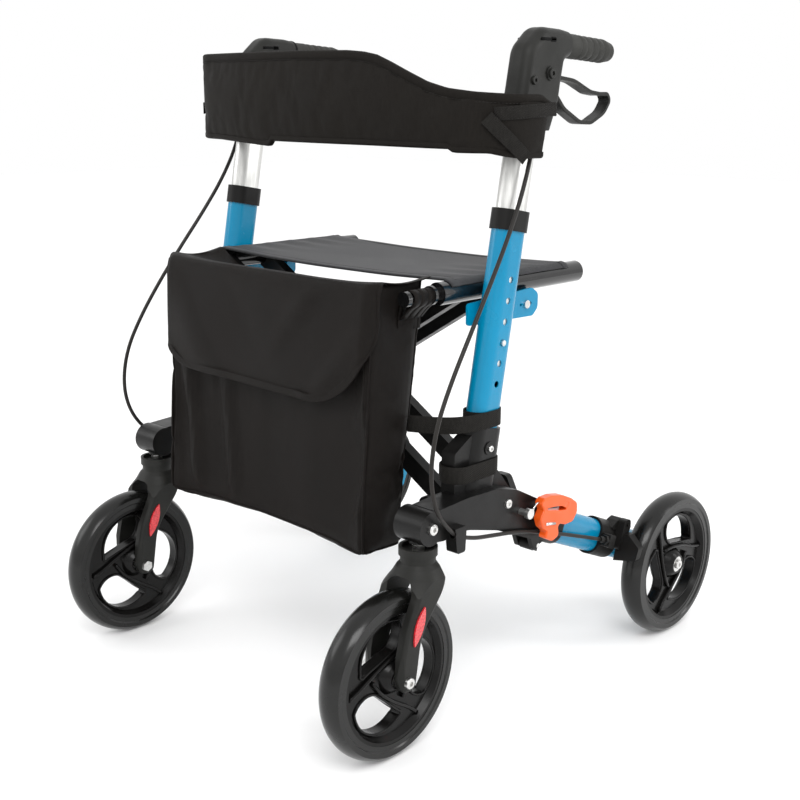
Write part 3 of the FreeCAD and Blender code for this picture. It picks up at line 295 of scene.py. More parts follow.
def make_materials():
    made = [
        coated_metal("blue_tube", (0.0, 0.215, 0.385), (0.0, 0.192, 0.352), 0.22, 0.20, 0.00003, 0.25),
        bare_metal("silver_tube", (0.71, 0.71, 0.69), 0.38, (1, 1, 0.03)),
        coated_metal("black_casting", (0.007, 0.0066, 0.0062), (0.005, 0.005, 0.005), 0.36, 0.07, 0.00006,
                     0.17),
        coated_metal("black_rail", (0.005, 0.005, 0.0055), (0.004, 0.004, 0.004), 0.16, 0.45, 0.00001, 0.3),
        moulded("black_plastic", (0.009, 0.0086, 0.0082), 0.42, 900, 0.00006, Specular_IOR_Level=0.16),
        moulded("grey_plastic", (0.017, 0.017, 0.0155), 0.46, 1100, 0.00009, Specular_IOR_Level=0.17),
        moulded("wheel_plastic", (0.0045, 0.0042, 0.004), 0.24, 800, 0.00003, Specular_IOR_Level=0.18),
        moulded("tyre", (0.005, 0.005, 0.0045), 0.24, 500, 0.00002, Specular_IOR_Level=0.30, Coat_Weight=0.12,
                Coat_Roughness=0.15),
        bare_metal("steel", (0.72, 0.715, 0.70), 0.28, (1, 1, 1)),
        reflector_plastic(),
        coated_metal("orange_latch", (0.80, 0.105, 0.008), (0.72, 0.085, 0.006), 0.34, 0.25, 0.00003, 0.3),
        moulded("grip_rubber", (0.032, 0.032, 0.029), 0.58, 1300, 0.00010, Specular_IOR_Level=0.2),
        moulded("cable_jacket", (0.018, 0.016, 0.0145), 0.38, 1500, 0.00002, Specular_IOR_Level=0.2),
        woven("seat_fabric", (0.027, 0.027, 0.029), (0.050, 0.050, 0.053), 0.62, 0.0016, 0.00016, 0.10),
        woven("bag_fabric", (0.0046, 0.0035, 0.0029), (0.0078, 0.0061, 0.0052), 0.50, 0.0011, 0.00010, 0.0),
        woven("band_fabric", (0.0062, 0.0050, 0.0040), (0.0095, 0.0080, 0.0066), 0.66, 0.0014, 0.00010, 0.0),
        woven("webbing", (0.0075, 0.0068, 0.006), (0.015, 0.014, 0.0125), 0.62, 0.0026, 0.00028, 0.0),
        woven("thread", (0.012, 0.011, 0.010), (0.020, 0.019, 0.018), 0.55, 0.0008, 0.00004, 0.0),
        # near-black dull material: painted shade for the gap between the elbow and the grip and for the
        # elbow's slot
        moulded("painted_shade_gap", (0.003, 0.003, 0.003), 0.6, 900, 0.00003, Specular_IOR_Level=DULL),
        floor_paint(),
    ]
    return {material.name: material for material in made}


# ---- mesh helpers ----

def mesh_piece(name, points, faces, material, smooth=True):
    data = bpy.data.meshes.new(name)
    data.from_pydata([tuple(point) for point in points], [], faces)
    data.validate()
    data.polygons.foreach_set("use_smooth", [smooth] * len(data.polygons))
    data.materials.append(material)
    return linked(name, data)


class Shape:
    """Points and faces gathered into one mesh."""

    def __init__(self):
        self.points = []
        self.faces = []

    def add(self, points, faces):
        base = len(self.points)
        self.points += points
        self.faces += [tuple(base + k for k in face) for face in faces]

    def piece(self, name, material, smooth=True):
        return mesh_piece(name, self.points, self.faces, MATERIALS[material], smooth)


def round_section(radius, sides=12):
    return [(radius * math.cos(2 * math.pi * k / sides), radius * math.sin(2 * math.pi * k / sides))
            for k in range(sides)]


def flat_section(width, thick, corner=None, steps=3):
    """A flat strip's section, (across, out), with rounded corners."""
    corner = corner or 0.48 * thick
    points = []
    for k, (sx, sy) in enumerate(((1, 1), (-1, 1), (-1, -1), (1, -1))):
        centre = (sx * (width / 2 - corner), sy * (thick / 2 - corner))
        for step in range(steps + 1):
            angle = math.pi / 2 * (k + step / steps)
            points.append((centre[0] + corner * math.cos(angle), centre[1] + corner * math.sin(angle)))
    return points


def directions(path, closed=False):
    count = len(path)
    result = []
    for k in range(count):
        before = path[k - 1] if closed or k else path[0]
        after = path[(k + 1) % count] if closed or k < count - 1 else path[-1]
        result.append((after - before).normalized())
    return result


def strip_faces(rings, sides, round_it=True, looped=False):
    """Quads between one ring of points and the next. A ring is closed or open, and so is the row of rings."""
    faces = []
    for ring in range(rings if looped else rings - 1):
        here, there = ring * sides, (ring + 1) % rings * sides
        for k in range(sides if round_it else sides - 1):
            ahead = (k + 1) % sides
            faces.append((here + k, here + ahead, there + ahead, there + k))
    return faces


def sweep(path, section, normals=None, closed=False):
    """Carries a section along a path. Its second coordinate follows the given normals."""
    tangents = directions(path, closed)
    out = tangents[0].orthogonal().normalized()
    points = []
    for k, (place, tangent) in enumerate(zip(path, tangents)):
        guide = normals[k] if normals else out
        out = (guide - tangent * guide.dot(tangent)).normalized()
        across = tangent.cross(out)
        points += [place + across * a + out * b for a, b in section]
    sides, rings = len(section), len(path)
    faces = strip_faces(rings, sides, looped=closed)
    if not closed:
        faces.append(tuple(reversed(range(sides))))
        faces.append(tuple(range((rings - 1) * sides, rings * sides)))
    return points, faces


def curve_path(points, order=3, per_span=6, closed=False):
    """Points read from the NURBS spline that has these control points."""
    data = bpy.data.curves.new("route", "CURVE")
    assign(data, dimensions="3D", resolution_u=per_span)
    spline = data.splines.new("NURBS")
    spline.points.add(len(points) - 1)
    for control, point in zip(spline.points, points):
        control.co = (*point, 1)
    assign(spline, use_cyclic_u=closed, use_endpoint_u=not closed, order_u=order)
    item = linked("route", data)
    mesh = bpy.data.meshes.new_from_object(item)
    result = [vertex.co.copy() for vertex in mesh.vertices]
    bpy.data.objects.remove(item)
    bpy.data.meshes.remove(mesh)
    return result


def spaced(path, step, normals=None):
    """Evenly spaced points along a path, each with its direction and normal."""
    lengths = [0]
    for a, b in zip(path, path[1:]):
        lengths.append(lengths[-1] + (b - a).length)
    count = max(1, int(lengths[-1] / step))
    found, k = [], 0
    for number in range(count + 1):
        target = lengths[-1] * number / count
        while k < len(path) - 2 and lengths[k + 1] < target:
            k += 1
        share = (target - lengths[k]) / max(1e-9, lengths[k + 1] - lengths[k])
        place = path[k].lerp(path[k + 1], share)
        normal = normals[k].lerp(normals[k + 1], share).normalized() if normals else UP
        found.append((place, (path[k + 1] - path[k]).normalized(), normal))
    return found


def add_stitches(shape, path, normals, pitch=0.0042, length=0.0028, radius=0.00042):
    """A row of short threads that lie on a surface."""
    for place, along, normal in spaced(path, pitch, normals):
        across = along.cross(normal).normalized()
        points = []
        for end, size in ((-0.5, 0.35), (-0.25, 1), (0.25, 1), (0.5, 0.35)):
            centre = place + along * (end * length)
            for a, b in round_section(radius * size, 5):
                points.append(centre + across * a + normal * (0.6 * b))
        shape.add(points, strip_faces(4, 5) + [tuple(reversed(range(5))), tuple(range(15, 20))])


def mirrored(point, sign):
    return Vector((sign * point[0], point[1], point[2]))


def smoothstep(low, high, value):
    share = min(1, max(0, (value - low) / (high - low)))
    return share * share * (3 - 2 * share)


def between(value, table):
    """Piecewise straight interpolation in a table of (position, value)."""
    if value <= table[0][0]:
        return table[0][1]
    for (a, first), (b, second) in zip(table, table[1:]):
        if value <= b:
            return first + (second - first) * (value - a) / (b - a)
    return table[-1][1]


def fit(piece, body):
    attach(piece, body)


def add_modifier(piece, kind, **settings):
    modifier = piece.modifiers.new(kind.lower(), kind)
    assign(modifier, **settings)
    return modifier


def simulate(piece, pinned, frames, pressure, growth, gravity, cap):
    """Runs a cloth simulation on a piece and keeps its result, each point moved no further than cap.
    pinned gives each vertex's hold from 0 to 1, and growth the share by which the cloth is cut too large."""
    scene = bpy.context.scene
    group = piece.vertex_groups.new(name="held")
    for index, weight in enumerate(pinned):
        if weight > 0:
            group.add([index], weight, "REPLACE")
    cloth = add_modifier(piece, "CLOTH")
    assign(cloth.settings, quality=7, mass=0.25, tension_stiffness=22, compression_stiffness=22,
           shear_stiffness=8, bending_stiffness=0.35, vertex_group_mass="held", pin_stiffness=4,
           shrink_min=-growth, shrink_max=-growth, use_pressure=True, uniform_pressure_force=pressure)
    cloth.settings.effector_weights.gravity = gravity
    cloth.collision_settings.use_collision = False
    assign(cloth.point_cache, frame_start=1, frame_end=frames)
    rest = [vertex.co.copy() for vertex in piece.data.vertices]
    for number in range(1, frames + 1):
        scene.frame_set(number)
    settled = piece.evaluated_get(bpy.context.evaluated_depsgraph_get()).to_mesh()
    moved = [vertex.co.copy() for vertex in settled.vertices]
    piece.modifiers.remove(cloth)
    scene.frame_set(1)
    for vertex, start, end in zip(piece.data.vertices, rest, moved):
        shift = end - start
        if shift.length > cap:
            shift *= cap / shift.length
        vertex.co = start + shift
    piece.vertex_groups.clear()


# ---- brake cables ----

CABLE_RADIUS = 0.0025
UPPER_CABLE = (
    (0.261, -0.033, 0.703), (0.262, -0.042, 0.668), (0.267, -0.066, 0.620), (0.273, -0.098, 0.574),
    (0.279, -0.134, 0.528), (0.2835, -0.170, 0.481), (0.286, -0.203, 0.434), (0.2875, -0.227, 0.390),
    (0.2875, -0.236, 0.343), (0.286, -0.228, 0.303), (0.2815, -0.206, 0.272), (0.277, -0.178, 0.251))
LOWER_CABLE = (
    (0.277, -0.178, 0.251), (0.275, -0.152, 0.240), (0.2746, -0.112, 0.233), (0.2744, -0.066, 0.2255),
    (0.2744, -0.020, 0.2135), (0.275, 0.026, 0.1985), (0.277, 0.070, 0.1835), (0.2795, 0.110, 0.1695))


def path_length(path):
    return sum((b - a).length for a, b in zip(path, path[1:]))


def make_cable(name, route, sign, side):
    points = [mirrored(point, sign) for point in route]
    path = curve_path(points, per_span=8)
    length = path_length(path)
    shape = Shape()
    shape.add(*sweep(path, round_section(CABLE_RADIUS, 14)))
    cable = shape.piece(f"cable_{name}_{side}", "cable_jacket")
    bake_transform(cable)
    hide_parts(f"brake_cable_{name}_{side}")


def make_cables():
    for side, sign in SIDES.items():
        make_cable("upper", UPPER_CABLE, sign, side)
        make_cable("lower", LOWER_CABLE, sign, side)


# ---- seat ----

SEAT_THICK = 0.0016


def seat_profile(x):
    """Height of the sling's middle surface over the rails and between them."""
    top = RAIL_Z + RAIL_RADIUS + 0.0012
    reach = abs(x) - RAIL_X
    if reach > 0:
        radius = RAIL_RADIUS + 0.0012
        return RAIL_Z + math.sqrt(max(0, radius ** 2 - reach ** 2))
    return top - 0.0045 * (1 - (x / RAIL_X) ** 2)


def make_seat():
    low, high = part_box("seat_sling")
    edge = RAIL_X + 0.0118
    across = [edge * math.sin(math.pi / 2 * k / 30) for k in range(-30, 31)]
    along = [low.y + (high.y - low.y) * k / 36 for k in range(37)]
    points = []
    for y in along:
        for x in across:
            pull = 0.0011 * math.sin(150 * y + 1.3) * smoothstep(0.10, 0.20, abs(x)) * (abs(x) < RAIL_X)
            ripple = 0.0006 * noise.noise(Vector((9 * x, 14 * y, 2.5)))
            waist = 0.004 * (1 - (x / edge) ** 2) * (1 if y > 0 else -1) * smoothstep(0.06, 0.115, abs(y))
            points.append((x, y - waist, seat_profile(x) + pull + ripple))
    width = len(across)
    faces = strip_faces(len(along), width, round_it=False)
    sling = mesh_piece("seat_sling_cloth", points, faces, MATERIALS["seat_fabric"])
    apply_thickness(sling, SEAT_THICK)
    stitched = Shape()
    hems = Shape()
    for row, inward in ((0, 1), (len(along) - 1, -1)):
        edge_line = [Vector(points[row * width + k]) for k in range(width)]
        hem = [p + Vector((0, inward * 0.0065, -0.0004)) for p in edge_line]
        hems.add(*sweep(hem, flat_section(0.013, 0.0034), [UP] * len(hem)))
        line = [p + Vector((0, inward * 0.0115, 0.0015)) for p in edge_line]
        add_stitches(stitched, line, [UP] * len(line))
    hem_piece = hems.piece("seat_hems", "seat_fabric")
    thread = stitched.piece("seat_stitches", "thread")
    for piece in (sling, hem_piece, thread):
        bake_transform(piece)
    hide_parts("seat_sling")


def apply_thickness(piece, thick, offset=0.0):
    """Turns a single surface into a closed shell."""
    add_modifier(piece, "SOLIDIFY", thickness=thick, offset=offset, use_even_offset=True)
    bake_modifiers(piece)


def bake_modifiers(piece):
    """Replaces a piece's mesh by its mesh with the modifiers applied."""
    graph = bpy.context.evaluated_depsgraph_get()
    finished = bpy.data.meshes.new_from_object(piece.evaluated_get(graph))
    piece.modifiers.clear()
    piece.data = finished


# ---- bag ----

BAG_LOW, BAG_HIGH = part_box("bag")
BAG_CELLS = (50, 9, 42)
BAG_CORNER = 0.011


def bag_front(z):
    share = (z - BAG_LOW.z) / (BAG_HIGH.z - BAG_LOW.z)
    return -0.240 + 0.018 * share


def bag_rear(z):
    share = (z - BAG_LOW.z) / (BAG_HIGH.z - BAG_LOW.z)
    return -0.176 + 0.040 * share


def bag_sag(x):
    """How far the bag's rear edge hangs below its front edge: most in the middle, nothing at the rods."""
    return 0.036 * (1 - min(1, abs(x) / BAG_HIGH.x) ** 4)


def bag_folds(x, z):
    """Upright folds in the front panel, below the flap and most of them toward -X."""
    lower = smoothstep(0.43, 0.37, z) * smoothstep(0.225, 0.26, z)
    ridges = max(0, math.sin(88 * (x + 0.16 * (z - 0.3)) + 1.1)) * smoothstep(0.02, -0.06, x)
    return lower * (0.0065 * ridges ** 2 + 0.0045 * noise.noise(Vector((13 * x, 0.3, 5 * z))))


def bag_place(i, j, k):
    """A grid point of the bag's box, its edges rounded and its walls a little slack."""
    nx, ny, nz = BAG_CELLS
    x = BAG_HIGH.x * (2 * i / nx - 1)
    top = BAG_HIGH.z - 0.010 - bag_sag(x) * j / ny
    z = BAG_LOW.z + 0.004 + (top - BAG_LOW.z) * k / nz
    front, rear = bag_front(z), bag_rear(z)
    y = front + (rear - front) * j / ny
    point = Vector((x, y, z))
    r = BAG_CORNER
    core = Vector((min(BAG_HIGH.x - r, max(-BAG_HIGH.x + r, x)), min(rear - r, max(front + r, y)),
                   max(BAG_LOW.z + 0.004 + r, z)))
    away = point - core
    if away.length > 1e-6:
        point = core + away.normalized() * min(r, away.length)
    slack = 0.0022 * noise.noise(Vector((7 * x, 20 * y + 3, 6 * z)))
    fold = bag_folds(x, z) if j == 0 and 1 < i < nx - 1 else 0
    return point + Vector((0.5 * slack, slack - fold, 0.4 * slack))


def make_bag_body():
    nx, ny, nz = BAG_CELLS
    index, points, faces = {}, [], []

    def spot(i, j, k):
        if (i, j, k) not in index:
            index[i, j, k] = len(points)
            points.append(bag_place(i, j, k))
        return index[i, j, k]

    for k in range(nz):
        for i in range(nx):
            faces.append((spot(i, 0, k), spot(i + 1, 0, k), spot(i + 1, 0, k + 1), spot(i, 0, k + 1)))
            faces.append((spot(i + 1, ny, k), spot(i, ny, k), spot(i, ny, k + 1), spot(i + 1, ny, k + 1)))
        for j in range(ny):
            faces.append((spot(0, j + 1, k), spot(0, j, k), spot(0, j, k + 1), spot(0, j + 1, k + 1)))
            faces.append((spot(nx, j, k), spot(nx, j + 1, k), spot(nx, j + 1, k + 1), spot(nx, j, k + 1)))
    for i in range(nx):
        for j in range(ny):
            faces.append((spot(i, j + 1, 0), spot(i + 1, j + 1, 0), spot(i + 1, j, 0), spot(i, j, 0)))
    body = mesh_piece("bag_body", points, faces, MATERIALS["bag_fabric"])
    held = [0.0] * len(points)
    for (i, j, k), number in index.items():
        if k >= nz - 1:
            held[number] = 1.0
        elif i in (0, nx) and j in (0, ny):
            held[number] = 0.25
    simulate(body, held, 26, 0.35, 0.028, 0.35, 0.011)
    settled = {key: body.data.vertices[number].co.copy() for key, number in index.items()}
    return body, settled


def bag_seams(settled):
    """Piping on the four upright edges and round the bottom, with the panels' stitch rows."""
    nx, ny, nz = BAG_CELLS
    piping, thread = Shape(), Shape()
    section = round_section(0.0015, 8)
    for i, j in ((0, 0), (nx, 0), (0, ny), (nx, ny)):
        away = Vector((1 if i else -1, 1 if j else -1, 0)).normalized()
        line = [settled[i, j, k] + away * 0.0008 for k in range(0, nz + 1)]
        piping.add(*sweep(line, section))
        inward = Vector((-1 if i else 1, 0, 0))
        face = Vector((0, 1 if j else -1, 0))
        step = 1 if i == 0 else -1
        row = [settled[i + step, j, k] + inward * 0.001 + face * 0.0012 for k in range(2, nz + 1)]
        add_stitches(thread, row, [face] * len(row))
    rim = [(i, 0) for i in range(nx + 1)] + [(nx, j) for j in range(1, ny + 1)]
    rim += [(i, ny) for i in range(nx - 1, -1, -1)] + [(0, j) for j in range(ny - 1, 0, -1)]
    rim = [settled[i, j, 0] - UP * 0.0003 for i, j in rim]
    piping.add(*sweep(rim, section, closed=True))
    return piping, thread


FLAP_HALF = 0.1925
FLAP_CELLS = (56, 14, 30)


def flap_edge(x):
    """Height of the flap's lower edge: nearly level, its round corner larger at +X than at -X."""
    height = 0.3925 - 0.006 * (x + FLAP_HALF) / (2 * FLAP_HALF)
    for sign, wide, high, power in ((1, 0.095, 0.105, 1.8), (-1, 0.06, 0.05, 2)):
        share = max(0, (sign * x - (FLAP_HALF - wide)) / wide)
        height += high * (1 - math.sqrt(max(0, 1 - share ** power)))
    return height


def flap_dents(x, z):
    """Soft dents and folds of the flap's front, always outward."""
    broad = 0.0060 * (0.5 + noise.noise(Vector((7 * x + 4, 1.7, 9 * z))))
    left_fold = 0.0032 * max(0, math.sin(34 * (x + 0.8 * z) + 0.6)) * smoothstep(0.18, 0.02, abs(x + 0.10))
    right_fold = 0.0036 * max(0, math.sin(52 * (x - 0.9 * z) + 2.0)) ** 2
    right_fold *= smoothstep(0.10, 0.01, abs(x - 0.10))
    return broad + left_fold + right_fold


def make_flap(tree):
    """The cover sheet: from the bag's rear edge over the top and down the front."""
    nx, over, down = FLAP_CELLS
    top, rear = BAG_HIGH.z + 0.0005, bag_rear(BAG_HIGH.z) + 0.003
    front_top, fold_top = bag_front(top) + 0.003, top - 0.004
    points = []
    for i in range(nx + 1):
        x = FLAP_HALF * math.sin(math.pi / 2 * (2 * i / nx - 1))
        column = []
        ripple = 0.0025 * noise.noise(Vector((11 * x, 0.4, 3)))
        for j in range(over):
            share = j / over
            y = rear + (front_top - rear) * share
            fall = (bag_sag(x) + 0.003) * (1 - share) + (0.006 - ripple) * math.sin(math.pi * share)
            column.append(Vector((x, y, top - fall)))
        low = flap_edge(x)
        for j in range(down + 1):
            share = j / down
            z = fold_top + (low - fold_top) * share
            y = bag_front(z) - 0.0035
            hit = tree.ray_cast(Vector((x * 0.97, y - 0.04, z)), BACK, 0.08)[0]
            if hit:
                y = min(y, hit.y - 0.0022)
            y -= flap_dents(x, z) * smoothstep(0, 0.25, share) * (1 - 0.35 * smoothstep(0.85, 1, share))
            curl = smoothstep(FLAP_HALF - 0.014, FLAP_HALF, abs(x))
            column.append(Vector((x + (0.0015 if x > 0 else -0.0015) * curl, y + 0.011 * curl, z)))
        # the fold over the front edge is rounded by averaging its neighbours
        for turn in range(2):
            for j in range(over - 1, over + 2):
                column[j] = (column[j - 1] + 2 * column[j] + column[j + 1]) / 4
        points.append(column)
    rows = over + down + 1
    flap = mesh_piece("bag_flap", [p for column in points for p in column],
                      strip_faces(nx + 1, rows, round_it=False), MATERIALS["bag_fabric"])
    area = sum(face.area for face in flap.data.polygons)
    length = path_length(points[nx // 2])
    apply_thickness(flap, 0.0014)
    edge = [points[0][j] for j in range(over + 2, rows)]
    edge += [points[i][rows - 1] for i in range(1, nx)]
    edge += [points[nx][j] for j in range(rows - 1, over + 1, -1)]
    return flap, edge, area, length


def flap_binding(edge):
    """Bound edge of the flap: a folded tape with a stitch row along its inner side."""
    middle = Vector((0, 0, 0.45))
    path = [place for place, along, normal in spaced(edge, 0.006)]
    tangents = directions(path)
    normals, rows = [], []
    for place, tangent in zip(path, tangents):
        inward = (middle - place)
        inward.y = 0
        inward -= tangent * inward.dot(tangent)
        inward.normalize()
        front = tangent.cross(inward)
        if front.y > 0:
            front = -front
        normals.append(front)
        rows.append((place, inward, front))
    binding, thread = Shape(), Shape()
    binding.add(*sweep([p + inward * 0.0042 + front * 0.0002 for p, inward, front in rows],
                       flat_section(0.0105, 0.0034, 0.0016), normals))
    line = [p + inward * 0.0078 + front * 0.0020 for p, inward, front in rows]
    add_stitches(thread, line, normals)
    return binding, thread


def box_patch(shape, thread, centre, width, height, sign):
    """A webbing end sewn to the side panel with a square and a cross of stitches."""
    face = OUT * sign
    half_y, half_z = width / 2, height / 2
    plate = [centre + UP * (half_z * share) for share in (-1, -0.5, 0, 0.5, 1)]
    shape.add(*sweep(plate, flat_section(width, 0.0018), [face] * len(plate)))
    inset = 0.0025
    corners = [Vector((0, a * (half_y - inset), b * (half_z - inset)))
               for a, b in ((-1, -1), (1, -1), (1, 1), (-1, 1))]
    lift = face * 0.0012
    for a, b in ((0, 1), (1, 2), (2, 3), (3, 0), (0, 2), (1, 3)):
        line = [centre + corners[a] + lift, centre + corners[b] + lift]
        add_stitches(thread, line, [face, face], 0.0032, 0.0022)


def make_bag_hangers():
    """Cloth tunnels round the two rods that carry the bag, each joined to its side panel, and a sewn webbing
    end on each side."""
    tunnels, webs, thread = Shape(), Shape(), Shape()
    for sign in (1, -1):
        path_y = [-0.1825, -0.172, -0.160, -0.150, -0.1445]
        outline = [(BAG_HIGH.x + 0.0005, RAIL_Z - 0.040), (BAG_HIGH.x + 0.002, RAIL_Z - 0.016),
                   (RAIL_X - 0.0095, RAIL_Z - 0.001), (RAIL_X - 0.0075, RAIL_Z + 0.0065),
                   (RAIL_X, RAIL_Z + 0.0095), (RAIL_X + 0.0075, RAIL_Z + 0.006),
                   (RAIL_X + 0.0092, RAIL_Z - 0.002), (RAIL_X + 0.0045, RAIL_Z - 0.0095),
                   (RAIL_X - 0.003, RAIL_Z - 0.0125), (BAG_HIGH.x + 0.0045, RAIL_Z - 0.026)]
        line = curve_path([Vector((sign * x, 0, z)) for x, z in outline], order=3, per_span=4)
        for y_a, y_b in zip(path_y, path_y[1:]):
            points = [p + Vector((0, y, 0)) for y in (y_a, y_b) for p in line]
            tunnels.add(points, strip_faces(2, len(line), round_it=False))
        centre = Vector((sign * (BAG_HIGH.x + 0.0022), -0.172, RAIL_Z - 0.072))
        box_patch(webs, thread, centre, 0.020, 0.030, sign)
    tunnel = tunnels.piece("bag_tunnels", "bag_fabric")
    apply_thickness(tunnel, 0.0014)
    return tunnel, webs.piece("bag_webs", "webbing"), thread


def make_bag():
    body, settled = make_bag_body()
    body.data.update()
    tree = BVHTree.FromObject(body, bpy.context.evaluated_depsgraph_get())
    flap, edge, area, length = make_flap(tree)
    binding, flap_thread = flap_binding(edge)
    piping, seam_thread = bag_seams(settled)
    tunnel, webs, web_thread = make_bag_hangers()
    apply_thickness(body, 0.0012, offset=-1.0)
    bound = binding.piece("bag_flap_binding", "bag_fabric")
    thread = Shape()
    for part in (flap_thread, seam_thread, web_thread):
        thread.add(part.points, part.faces)
    threads = thread.piece("bag_stitches", "thread")
    pieces = [body, flap, bound, piping.piece("bag_piping", "bag_fabric"), tunnel, webs, threads]
    for piece in pieces:
        fit(piece, "bag")
        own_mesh(piece)
    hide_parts("bag")


# ---- backrest band ----

BAND_HALF, BAND_FRONT, BAND_BOW, BAND_CORNER = 0.2715, -0.1075, 0.030, 0.055
BAND_TOP = ((-0.272, 0.787), (-0.02, 0.787), (0.06, 0.786), (0.085, 0.784), (0.104, 0.7805), (0.125, 0.772),
            (0.150, 0.7605), (0.175, 0.7495), (0.200, 0.7425), (0.235, 0.7385), (0.272, 0.736))
BAND_LOW = ((-0.272, 0.677), (-0.200, 0.677), (-0.082, 0.672), (-0.077, 0.679), (0.204, 0.679),
            (0.209, 0.675), (0.250, 0.6755), (0.272, 0.669))
BAND_END = -0.031
BAND_CENTRE = Vector((BAND_HALF - BAND_CORNER, BAND_FRONT + BAND_CORNER - 0.006, 0))


def band_plan():
    """The band's middle line in plan, from the +X end round the front to the -X end."""
    corner = math.atan2(BAND_BOW, BAND_HALF)
    points = [Vector((BAND_HALF, y, 0)) for y in (BAND_END, -0.038, -0.046)]
    steps = 12
    for k in range(steps + 1):
        angle = (math.pi / 2 - corner * 0.5) * k / steps
        points.append(BAND_CENTRE + Vector((math.cos(angle), -math.sin(angle), 0)) * BAND_CORNER)
    start = points[-1]
    for k in range(1, 40):
        share = k / 40
        x = start.x * (1 - 2 * share)
        bow = (BAND_BOW - 0.004) * (1 - (x / start.x) ** 2)
        points.append(Vector((x, start.y - bow * 0.92, 0)))
    points += [mirrored(p, -1) for p in reversed(points[:len(points) - 39])]
    return [place for place, along, normal in spaced(points, 0.0058)]


def band_edges(place):
    """Bottom and top of the band at a place on its plan."""
    end = smoothstep(BAND_END - 0.022, BAND_END, place.y)
    top = between(place.x, BAND_TOP) - (0.007 * end * end if place.x > 0 else 0.004 * end)
    low = between(place.x, BAND_LOW)
    return low, top


def outward(place, tangent):
    """Level direction away from the band's inside."""
    out = Vector((tangent.y, -tangent.x, 0)).normalized()
    return out if out.dot(place - BACK * 0.05) > 0 else -out


def make_band():
    plan = band_plan()
    tangents = directions(plan)
    rows = 20
    points, held = [], []
    for place, tangent in zip(plan, tangents):
        out = outward(place, tangent)
        low, top = band_edges(place)
        slant = 0.013 if place.x > 0 else 0.004
        for face in (1, -1):
            for k in range(rows):
                share = (k + 0.5) / rows
                share = share if face > 0 else 1 - share
                z = low + (top - low) * share
                edge = min(1, min(share, 1 - share) * 9)
                half = 0.0022 + 0.0016 * math.sqrt(edge)
                lean = slant * (share - 0.5) * smoothstep(-0.08, BAND_END, place.y)
                points.append(place + out * (face * half) + UP * z + BACK * lean)
                held.append(1.0 if share < 0.04 or share > 0.90 else 0.0)
    ring = 2 * rows
    faces = strip_faces(len(plan), ring)
    for base in (0, (len(plan) - 1) * ring):
        for k in range(rows - 1):
            quad = (base + k, base + k + 1, base + ring - 2 - k, base + ring - 1 - k)
            faces.append(quad if base else tuple(reversed(quad)))
    band = mesh_piece("backrest_band", points, faces, MATERIALS["band_fabric"])
    simulate(band, held, 20, 5.0, 0.012, 0, 0.007)
    bpy.context.view_layer.update()
    spots = [vertex.co.copy() for vertex in band.data.vertices]
    top_line, low_line = ([(spots[base + a] + spots[base + b]) / 2 for base in range(0, len(spots), ring)]
                          for a, b in ((rows - 1, rows), (0, ring - 1)))
    add_modifier(band, "SUBSURF", levels=1, render_levels=1)
    bake_modifiers(band)
    return band, tangents, top_line, low_line


def u_section(height, thick, gap):
    """Section of a tape folded over an edge: (across, up) round its outside and back inside."""
    half = gap / 2
    outer = [(half + thick, -height)]
    outer += [((half + thick) * math.cos(a), (half + thick) * 0.8 * math.sin(a))
              for a in (math.radians(15 * k) for k in range(0, 13))]
    outer.append((-half - thick, -height))
    inner = [(-half, -height)]
    inner += [(half * math.cos(a), half * 0.8 * math.sin(a))
              for a in (math.radians(180 - 30 * k) for k in range(7))]
    inner.append((half, -height))
    return outer + inner


def make_band_binding(tangents, top_line, low_line):
    binding, thread = Shape(), Shape()
    for line, flip, height in ((top_line, 1, 0.0085), (low_line, -1, 0.004)):
        section = u_section(height, 0.0009, 0.0068)
        points = []
        for place, tangent in zip(line, tangents):
            out = outward(place, tangent)
            points += [place + out * a + UP * (flip * b) for a, b in section]
        binding.add(points, strip_faces(len(line), len(section)))
        if flip > 0:
            normals = [outward(place, tangent) for place, tangent in zip(line, tangents)]
            for sign in (1, -1):
                row = [p + n * (sign * 0.0045) - UP * (height - 0.0012) for p, n in zip(line, normals)]
                add_stitches(thread, row, [n * sign for n in normals])
    return binding.piece("backrest_binding", "band_fabric"), thread.piece("backrest_stitches", "thread")


